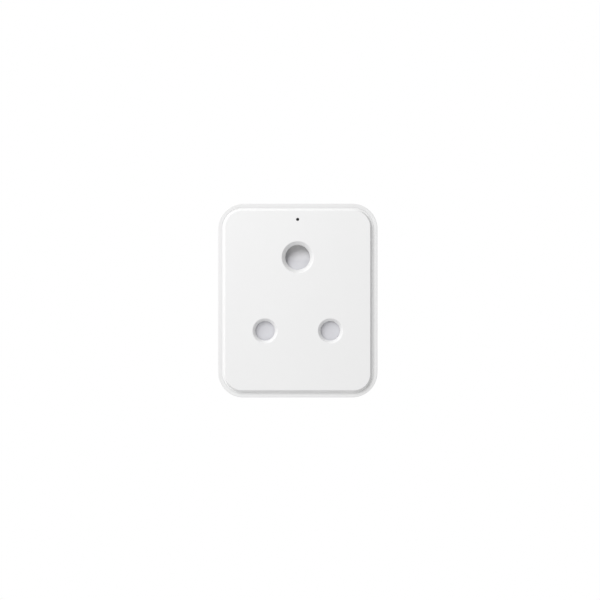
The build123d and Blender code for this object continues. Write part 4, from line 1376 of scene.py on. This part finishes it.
@dataclass
class Relay:
    """The latching relay: base, cover, yoke, armature and a wound bobbin."""

    wire_radius: float = 0.11 * MM
    core_radius: float = 2.7 * MM
    end_gap: float = 0.02 * MM

    def tree(self, material: bpy.types.Material) -> GeometryTree:
        """Make the tree of a close winding along X over a plain inner layer.

        Args:
            material: what the wire is made of.

        Returns:
            The tree.
        """
        g = GeometryTree(
            "relay_winding_tree",
            {"radius": 4.0 * MM, "wire": 0.1 * MM, "length": 13.0 * MM, "core": 2.6 * MM, "x": 0.0, "y": 0.0,
             "z": 0.0},
        )
        size = g.entry
        turns = g.math("DIVIDE", size["length"], g.math("MULTIPLY", size["wire"], 2.0))
        outer = g.math("SUBTRACT", size["radius"], size["wire"])
        coil = g.wired(g.helix(outer, size["length"], turns, 36), size["wire"], 6)
        mean = g.math("MULTIPLY", g.math("ADD", size["core"], outer), 0.5)
        path = g.node("GeometryNodeCurvePrimitiveCircle", {"Resolution": 48, "Radius": mean})
        wall = g.math("SUBTRACT", outer, size["core"])
        section = g.node("GeometryNodeCurvePrimitiveQuadrilateral", {"Width": wall, "Height": size["length"]})
        under = g.node(
            "GeometryNodeCurveToMesh", {"Curve": path.outputs[0], "Profile Curve": section.outputs[0]}
        )
        raised = g.moved(under.outputs[0], z=g.math("MULTIPLY", size["length"], 0.5))
        laid = g.turned(g.joined([coil, raised]), (0, 90, 0))
        g.close(g.moved(laid, size["x"], size["y"], size["z"]), material)
        return g

    def fit(self, paints: Paints) -> None:
        """Dress the relay and wind its coil.

        Args:
            paints: the finishes by name.
        """
        dress(paints["black"], "relay_base", "relay_cover")
        dress(paints["bobbin"], "relay_bobbin")
        dress(paints["iron"], "relay_yoke", "relay_armature")
        dress(paints["manganin"], "relay_blade", "relay_fixed_contact")
        low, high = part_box("relay_winding")
        centre = middle("relay_winding")
        sizes = {
            "radius": (high.z - low.z) / 2,
            "wire": self.wire_radius,
            "length": high.x - low.x - 2 * self.wire_radius - 2 * self.end_gap,
            "core": self.core_radius,
            "x": low.x + self.wire_radius + self.end_gap,
            "y": centre.y,
            "z": centre.z,
        }
        piece = self.tree(paints["wire"]).build("relay_coil_winding", sizes)
        settle(piece, "housing", ["relay_winding"])
        log.info("relay and its winding")


@dataclass
class Choke:
    """The supply's choke: a ferrite core and a rounded-square winding of thick wire."""

    wire_radius: float = 0.2 * MM
    corner: float = 1.0 * MM

    def tree(self, material: bpy.types.Material) -> GeometryTree:
        """Make the tree of rounded rectangular turns, stacked along Y.

        Args:
            material: what the wire is made of.

        Returns:
            The tree.
        """
        g = GeometryTree(
            "choke_winding_tree",
            {"width": 6.0 * MM, "height": 9.0 * MM, "corner": MM, "wire": 0.2 * MM, "turns": 12, "x": 0.0,
             "y": 0.0, "z": 0.0},
        )
        size = g.entry
        loop = g.node(
            "GeometryNodeCurvePrimitiveQuadrilateral", {"Width": size["width"], "Height": size["height"]}
        )
        eased = g.node("GeometryNodeFilletCurve", {"Curve": loop.outputs[0], "Radius": size["corner"]})
        next(s for s in eased.inputs if s.name == "Count").default_value = 6
        turn = g.turned(g.wired(eased.outputs[0], size["wire"], 10, capped=False), (90, 0, 0))
        first = g.vector(size["x"], size["y"], size["z"])
        step = g.vector(0, g.math("MULTIPLY", size["wire"], 2.0), 0)
        line = g.node(
            "GeometryNodeMeshLine", {"Count": size["turns"], "Start Location": first, "Offset": step}
        )
        g.close(g.on_points(line.outputs[0], turn), material)
        return g

    def fit(self, paints: Paints) -> None:
        """Dress the core and wind it.

        Args:
            paints: the finishes by name.
        """
        dress(paints["ferrite"], "choke_core")
        low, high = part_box("choke_winding")
        centre = middle("choke_winding")
        turns = int((high.y - low.y) / (2 * self.wire_radius))
        spare = (high.y - low.y) - turns * 2 * self.wire_radius
        sizes = {
            "width": high.x - low.x - 2 * self.wire_radius,
            "height": high.z - low.z - 2 * self.wire_radius,
            "corner": self.corner,
            "wire": self.wire_radius,
            "turns": turns,
            "x": centre.x,
            "y": low.y + spare / 2 + self.wire_radius,
            "z": centre.z,
        }
        piece = self.tree(paints["wire"]).build("choke_wire_winding", sizes)
        settle(piece, "housing", ["choke_winding"])
        log.info("choke and its winding")


@dataclass
class Capacitors:
    """Two aluminium cans in shrink sleeves, with a rolled groove and a vent scored on top."""

    radius: float = 4.0 * MM
    fold: float = 0.7 * MM
    fold_depth: float = 0.18 * MM
    shoulder: float = 0.35 * MM
    bevel: float = 0.1 * MM
    groove_height: float = 1.9 * MM
    groove_half: float = 0.5 * MM
    groove_depth: float = 0.3 * MM
    foot: float = 0.3 * MM
    foot_bevel: float = 0.08 * MM
    end_depth: float = 0.14 * MM
    end_dome: tuple[tuple[float, float], ...] = ((1.0, 0.0), (0.75, 0.05 * MM), (0.5, 0.08 * MM))
    end_top: float = 0.09 * MM
    vent_width: float = 0.16 * MM
    vent_share: float = 0.7
    vent_seat: float = 0.06 * MM
    vent_rise: float = 0.07 * MM
    vent_angle: float = 0.6
    lead_radius: float = 0.3 * MM
    lead_taper: float = 0.8
    lead_hold: float = 0.2 * MM
    steps: int = 48
    end_steps: int = 40

    def can(self, bm: bmesh.types.BMesh, x: float, z: float, base: float, top: float) -> None:
        """Add one sleeve, from its folded rim over the groove to its base.

        Args:
            bm: where the faces go.
            x: of its axis.
            z: of its axis.
            base: its depth at the board.
            top: its depth at the other end.
        """
        r = self.radius
        profile = [
            (r - self.fold, top - self.fold_depth),
            (r - self.fold, top),
            (r - self.shoulder, top),
            (r - self.bevel, top - self.bevel),
            (r, top - self.shoulder),
        ]
        for share in (-1, -0.5, 0, 0.5, 1):
            sunk = self.groove_depth * (1 - abs(share))
            profile.append((r - sunk, base + self.groove_height - self.groove_half * share))
        profile += [
            (r, base + self.foot),
            (r - self.bevel, base + self.foot_bevel),
            (r - self.foot, base),
            (0, base),
        ]
        lathe(bm, profile, along_y(x, z), self.steps)

    def top(self, bm: bmesh.types.BMesh, x: float, z: float, top: float) -> None:
        """Add one can's end, slightly domed, with a cross scored in it.

        Args:
            bm: where the faces go.
            x: of its axis.
            z: of its axis.
            top: its depth at that end.
        """
        r = self.radius - self.fold
        plate = top - self.end_depth
        rings = [
            ring(bm, circle(r * share, self.end_steps), plate + rise, x, z) for share, rise in self.end_dome
        ]
        loft(bm, rings)
        centre = bm.verts.new((x, plate + self.end_top, z))
        last = rings[-1]
        for i in range(self.end_steps):
            bm.faces.new((centre, last[i], last[(i + 1) % self.end_steps]))
        seat = Vector((x, plate + self.vent_seat, z))
        for angle in (self.vent_angle, self.vent_angle + math.pi / 2):
            arm = Vector((math.cos(angle), 0, math.sin(angle)))
            side = Vector((-arm.z, 0, arm.x)) * self.vent_width / 2
            corners = ((1, 1), (1, -1), (-1, -1), (-1, 1))
            ends = [seat + arm * r * self.vent_share * s + side * t for s, t in corners]
            upper = [bm.verts.new(p + Vector((0, self.vent_rise, 0))) for p in ends]
            lower = [bm.verts.new(p) for p in ends]
            bridge(bm, lower, upper)
            bm.faces.new(upper)
            bm.faces.new(lower[::-1])

    def lead(self, bm: bmesh.types.BMesh, x: float, z: float, front: float, base: float) -> None:
        """Add one lead, through the board and into its can.

        Args:
            bm: where the faces go.
            x: of its axis.
            z: of its axis.
            front: its depth at the tip.
            base: the can's depth at the board.
        """
        end = base + self.lead_hold
        profile = [
            (0, front),
            (self.lead_radius * self.lead_taper, front),
            (self.lead_radius, front + self.bevel),
            (self.lead_radius, end),
            (0, end),
        ]
        lathe(bm, profile, along_y(x, z), 12)

    def fit(self, paints: Paints) -> None:
        """Build both cans in the place of their plain solids.

        Args:
            paints: the finishes by name.
        """
        low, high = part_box("storage_capacitors")
        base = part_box("main_board")[1].y
        places = [low.x + self.radius, high.x - self.radius]
        z = (low.z + high.z) / 2
        sleeves, ends, legs = bmesh.new(), bmesh.new(), bmesh.new()
        for x in places:
            self.can(sleeves, x, z, base, high.y)
            self.top(ends, x, z, high.y)
        for x, lead_z in lead_points("storage_capacitors"):
            self.lead(legs, x, lead_z, low.y, base)
        cans = from_bmesh("capacitor_sleeves", sleeves, paints["sleeve"])
        settle(cans, "housing", ["storage_capacitors"])
        settle(from_bmesh("capacitor_ends", ends, paints["aluminium"]), "housing", [])
        settle(from_bmesh("capacitor_leads", legs, paints["solder"]), "housing", [])
        log.info("capacitors: %d", len(places))


# ---- Boards -----------------------------------------------------------------------------------------


@dataclass(frozen=True)
class Row:
    """A straight row of small parts: the place of the first, the step to the next and how many."""

    x: float
    z: float
    step_x: float
    step_z: float
    count: int

    def places(self, y: float) -> list[Point]:
        """Every part's place, at the depth y."""
        return [(self.x + self.step_x * i, y, self.z + self.step_z * i) for i in range(self.count)]


@dataclass
class MainBoard:
    """The main board with its chips, resistors, solder joints and small surface parts."""

    joint_radius: float = 0.95 * MM
    joint_height: float = 0.75 * MM
    joint_tip: float = 0.36
    joint_waist: float = 0.9
    part_length: float = 1.6 * MM
    part_width: float = 0.8 * MM
    part_height: float = 0.5 * MM
    end_share: float = 0.2
    end_growth: float = 1.04
    rows: tuple[Row, ...] = (
        Row(-8.0 * MM, -18.75 * MM, 2.3 * MM, 0.0, 8),
        Row(-8.2 * MM, 7.0 * MM, 0.0, 1.8 * MM, 4),
        Row(-17.6 * MM, 6.4 * MM, 0.0, 1.8 * MM, 4),
        Row(-3.0 * MM, -8.9 * MM, 2.3 * MM, 0.0, 4),
    )
    soldered: tuple[str, ...] = (
        "storage_capacitors", "film_capacitor", "varistor", "fuse_resistor", "module_header",
    )

    def joint_tree(self, material: bpy.types.Material) -> GeometryTree:
        """Make the tree that sets a waisted solder fillet on every point, its tip to the front.

        Args:
            material: the solder.

        Returns:
            The tree.
        """
        g = GeometryTree("solder_joint_tree", {"radius": MM, "height": MM}, takes_mesh=True)
        size = g.entry
        cone = g.node(
            "GeometryNodeMeshCone",
            {"Vertices": 20, "Side Segments": 6,
             "Radius Top": g.math("MULTIPLY", size["radius"], self.joint_tip),
             "Radius Bottom": size["radius"], "Depth": size["height"]},
        )
        part = g.node("ShaderNodeSeparateXYZ", {0: g.node("GeometryNodeInputPosition").outputs[0]}).outputs
        height = g.math("DIVIDE", part["Z"], size["height"])
        bow = g.math("MULTIPLY", height, g.math("SUBTRACT", 1.0, height))
        waist = g.math("SUBTRACT", 1.0, g.math("MULTIPLY", bow, self.joint_waist))
        place = g.vector(
            g.math("MULTIPLY", part["X"], waist), g.math("MULTIPLY", part["Y"], waist), part["Z"]
        )
        shaped = g.node("GeometryNodeSetPosition", {"Geometry": cone.outputs["Mesh"], "Position": place})
        g.close(g.on_points(g.entry["Mesh"], g.turned(shaped.outputs[0], (90, 0, 0))), material)
        return g

    def block_tree(self, name: str, material: bpy.types.Material) -> GeometryTree:
        """Make the tree that sets one block, or two apart along X, on every point of the board's back.

        Args:
            name: the tree's name.
            material: what the blocks are made of.

        Returns:
            The tree.
        """
        g = GeometryTree(name, {"length": MM, "width": MM, "height": MM, "apart": 0.0}, takes_mesh=True)
        size = g.entry
        extent = g.vector(size["length"], size["height"], size["width"])
        block = g.node("GeometryNodeMeshCube", {"Size": extent})
        lift = g.math("MULTIPLY", size["height"], 0.5)
        pair = g.joined([
            g.moved(block.outputs["Mesh"], g.math("MULTIPLY", size["apart"], side), lift)
            for side in (-0.5, 0.5)
        ])
        merged = g.node("GeometryNodeMergeByDistance", {"Geometry": pair, "Distance": 1e-6})
        g.close(g.on_points(g.entry["Mesh"], merged.outputs[0]), material)
        return g

    def solder(self, material: bpy.types.Material) -> int:
        """Put a joint on the front end of every lead.

        Args:
            material: the solder.

        Returns:
            How many joints there are.
        """
        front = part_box("main_board")[0].y
        joints = [(x, front, z) for node in self.soldered for x, z in lead_points(node)]
        sizes = {"radius": self.joint_radius, "height": self.joint_height}
        piece = self.joint_tree(material).build("solder_joints", sizes, point_mesh("joint_points", joints))
        settle(piece, "housing", [])
        return len(joints)

    def small_parts(self, paints: Paints) -> int:
        """Put the rows of small parts on the back, each a body between two ends.

        Args:
            paints: the finishes by name.

        Returns:
            How many parts there are.
        """
        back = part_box("main_board")[1].y
        places = [place for row in self.rows for place in row.places(back)]
        end = self.part_length * self.end_share
        body = {
            "length": self.part_length - 2 * end,
            "width": self.part_width,
            "height": self.part_height,
            "apart": 0.0,
        }
        cap = {
            "length": end,
            "width": self.part_width * self.end_growth,
            "height": self.part_height * self.end_growth,
            "apart": self.part_length - end,
        }
        tree = self.block_tree("chip_body_tree", paints["ceramic"])
        bodies = tree.build("chip_part_bodies", body, point_mesh("chip_points", places))
        tree = self.block_tree("chip_end_tree", paints["solder"])
        caps = tree.build("chip_part_ends", cap, point_mesh("chip_end_points", places))
        settle(bodies, "housing", [])
        settle(caps, "housing", [])
        return len(places)

    def fit(self, paints: Paints) -> None:
        """Dress the board and its parts, then add joints and small parts.

        Args:
            paints: the finishes by name.
        """
        dress(paints["board"], "main_board")
        dress(paints["epoxy"], "metering_chip", "supply_chip")
        dress(paints["film"], "film_capacitor")
        dress(paints["varistor"], "varistor")
        dress(paints["resistor"], "fuse_resistor")
        dress(paints["manganin"], "shunt_resistor")
        dress(paints["black"], "switch_body", "switch_plunger", "module_header")
        dress(paints["lens"], "status_led")
        dress(paints["smoked"], "light_pipe")
        Screws("board_screws").fit(paints["zinc"])
        joints = self.solder(paints["solder"])
        parts = self.small_parts(paints)
        log.info("board: %d joints, %d small parts", joints, parts)


@dataclass
class RadioModule:
    """The radio's small upright board and its shield can."""

    def fit(self, paints: Paints) -> None:
        """Dress both.

        Args:
            paints: the finishes by name.
        """
        dress(paints["radio"], "radio_board")
        dress(paints["shield"], "radio_shield")
        log.info("radio module")


# ---- Studio -----------------------------------------------------------------------------------------


@dataclass(frozen=True)
class Lamp:
    """A square soft light that looks at the object."""

    name: str
    place: Point
    size: float
    power: float
    aim: Point = (0, -20 * MM, 0)

    def hang(self) -> None:
        """Put the light in the scene."""
        data = bpy.data.lights.new(self.name, "AREA")
        data.size = self.size
        data.energy = self.power
        lamp = bpy.data.objects.new(self.name, data)
        lamp.location = self.place
        lamp.rotation_euler = (Vector(self.aim) - Vector(self.place)).to_track_quat("-Z", "Y").to_euler()
        bpy.context.scene.collection.objects.link(lamp)


@dataclass
class Studio:
    """Camera, lights, floor and surroundings."""

    lens: float = 150.0
    sensor: float = 36.0
    sight: float = 20.0
    view_width: float = 233.4 * MM
    aim_x: float = 0.90 * MM
    aim_z: float = 0.19 * MM
    floor_drop: float = 0.25
    floor_radius: float = 1.1
    floor_tones: tuple[Colour, Colour] = ((0.86, 0.86, 0.86), (0.84, 0.84, 0.84))
    surround: float = 0.47
    lamps: tuple[Lamp, ...] = (
        Lamp("key_light", (-0.33, -0.55, 0.38), 0.45, 3.75),
        Lamp("edge_light", (-1.5, -0.15, 1.6), 0.80, 10.0),
    )

    def camera(self) -> None:
        """Set up a long lens, square to the face."""
        data = bpy.data.cameras.new("camera")
        data.lens = self.lens
        data.sensor_width = self.sensor
        data.clip_end = self.sight
        camera = bpy.data.objects.new("camera", data)
        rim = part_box("body_shell")[0].y
        distance = self.view_width * self.lens / self.sensor
        camera.location = (self.aim_x, rim - distance, self.aim_z)
        camera.rotation_euler = (math.radians(90), 0, 0)
        bpy.context.scene.collection.objects.link(camera)
        bpy.context.scene.camera = camera

    def surroundings(self) -> None:
        """Make a white surround that is seen at full brightness and lights the object more softly."""
        world = bpy.data.worlds.new("surround")
        bpy.context.scene.world = world
        world.use_nodes = True
        tree = world.node_tree
        tree.nodes.clear()
        seen, lighting = (tree.nodes.new("ShaderNodeBackground") for _ in range(2))
        for background, strength in ((seen, 1.0), (lighting, self.surround)):
            background.inputs["Color"].default_value = (1, 1, 1, 1)
            background.inputs["Strength"].default_value = strength
        mix = tree.nodes.new("ShaderNodeMixShader")
        path = tree.nodes.new("ShaderNodeLightPath")
        out = tree.nodes.new("ShaderNodeOutputWorld")
        tree.links.new(path.outputs["Is Camera Ray"], mix.inputs[0])
        tree.links.new(lighting.outputs[0], mix.inputs[1])
        tree.links.new(seen.outputs[0], mix.inputs[2])
        tree.links.new(mix.outputs[0], out.inputs[0])

    def floor(self) -> None:
        """Lay a pale matt disc below the object."""
        s = Shader("studio_floor")
        s.set(base_color=s.blend(s.noise(14, 2.0), *self.floor_tones), roughness=0.9)
        bm = bmesh.new()
        rim = [bm.verts.new((x, y, cad_low.z - self.floor_drop)) for x, y in circle(self.floor_radius, 96)]
        bm.faces.new(rim)
        piece = from_bmesh("studio_floor", bm, s.material)

    def build(self) -> None:
        """Set up the whole studio."""
        bpy.context.scene.view_settings.view_transform = "Standard"
        self.camera()
        self.surroundings()
        self.floor()
        for lamp in self.lamps:
            lamp.hang()


def main() -> None:
    """Build everything in order."""
    logging.basicConfig(level=logging.INFO, format="%(message)s")
    paints = Finishes().materials()
    bare = {node.name: node.material_slots[0].material for node in frame["nodes"].values()}
    FacePlate().fit(paints["plate"])
    units = (
        Case(), SocketParts(), ShutterUnit(), Relay(), Choke(), MainBoard(), Capacitors(), RadioModule(),
    )
    for unit in units:
        unit.fit(paints)
    Studio().build()
    for node in frame["nodes"].values():
        if not node.hide_render and node.material_slots[0].material == bare[node.name]:
            log.warning("%s has no finish", node.name)


if __name__ == "__main__":
    main()
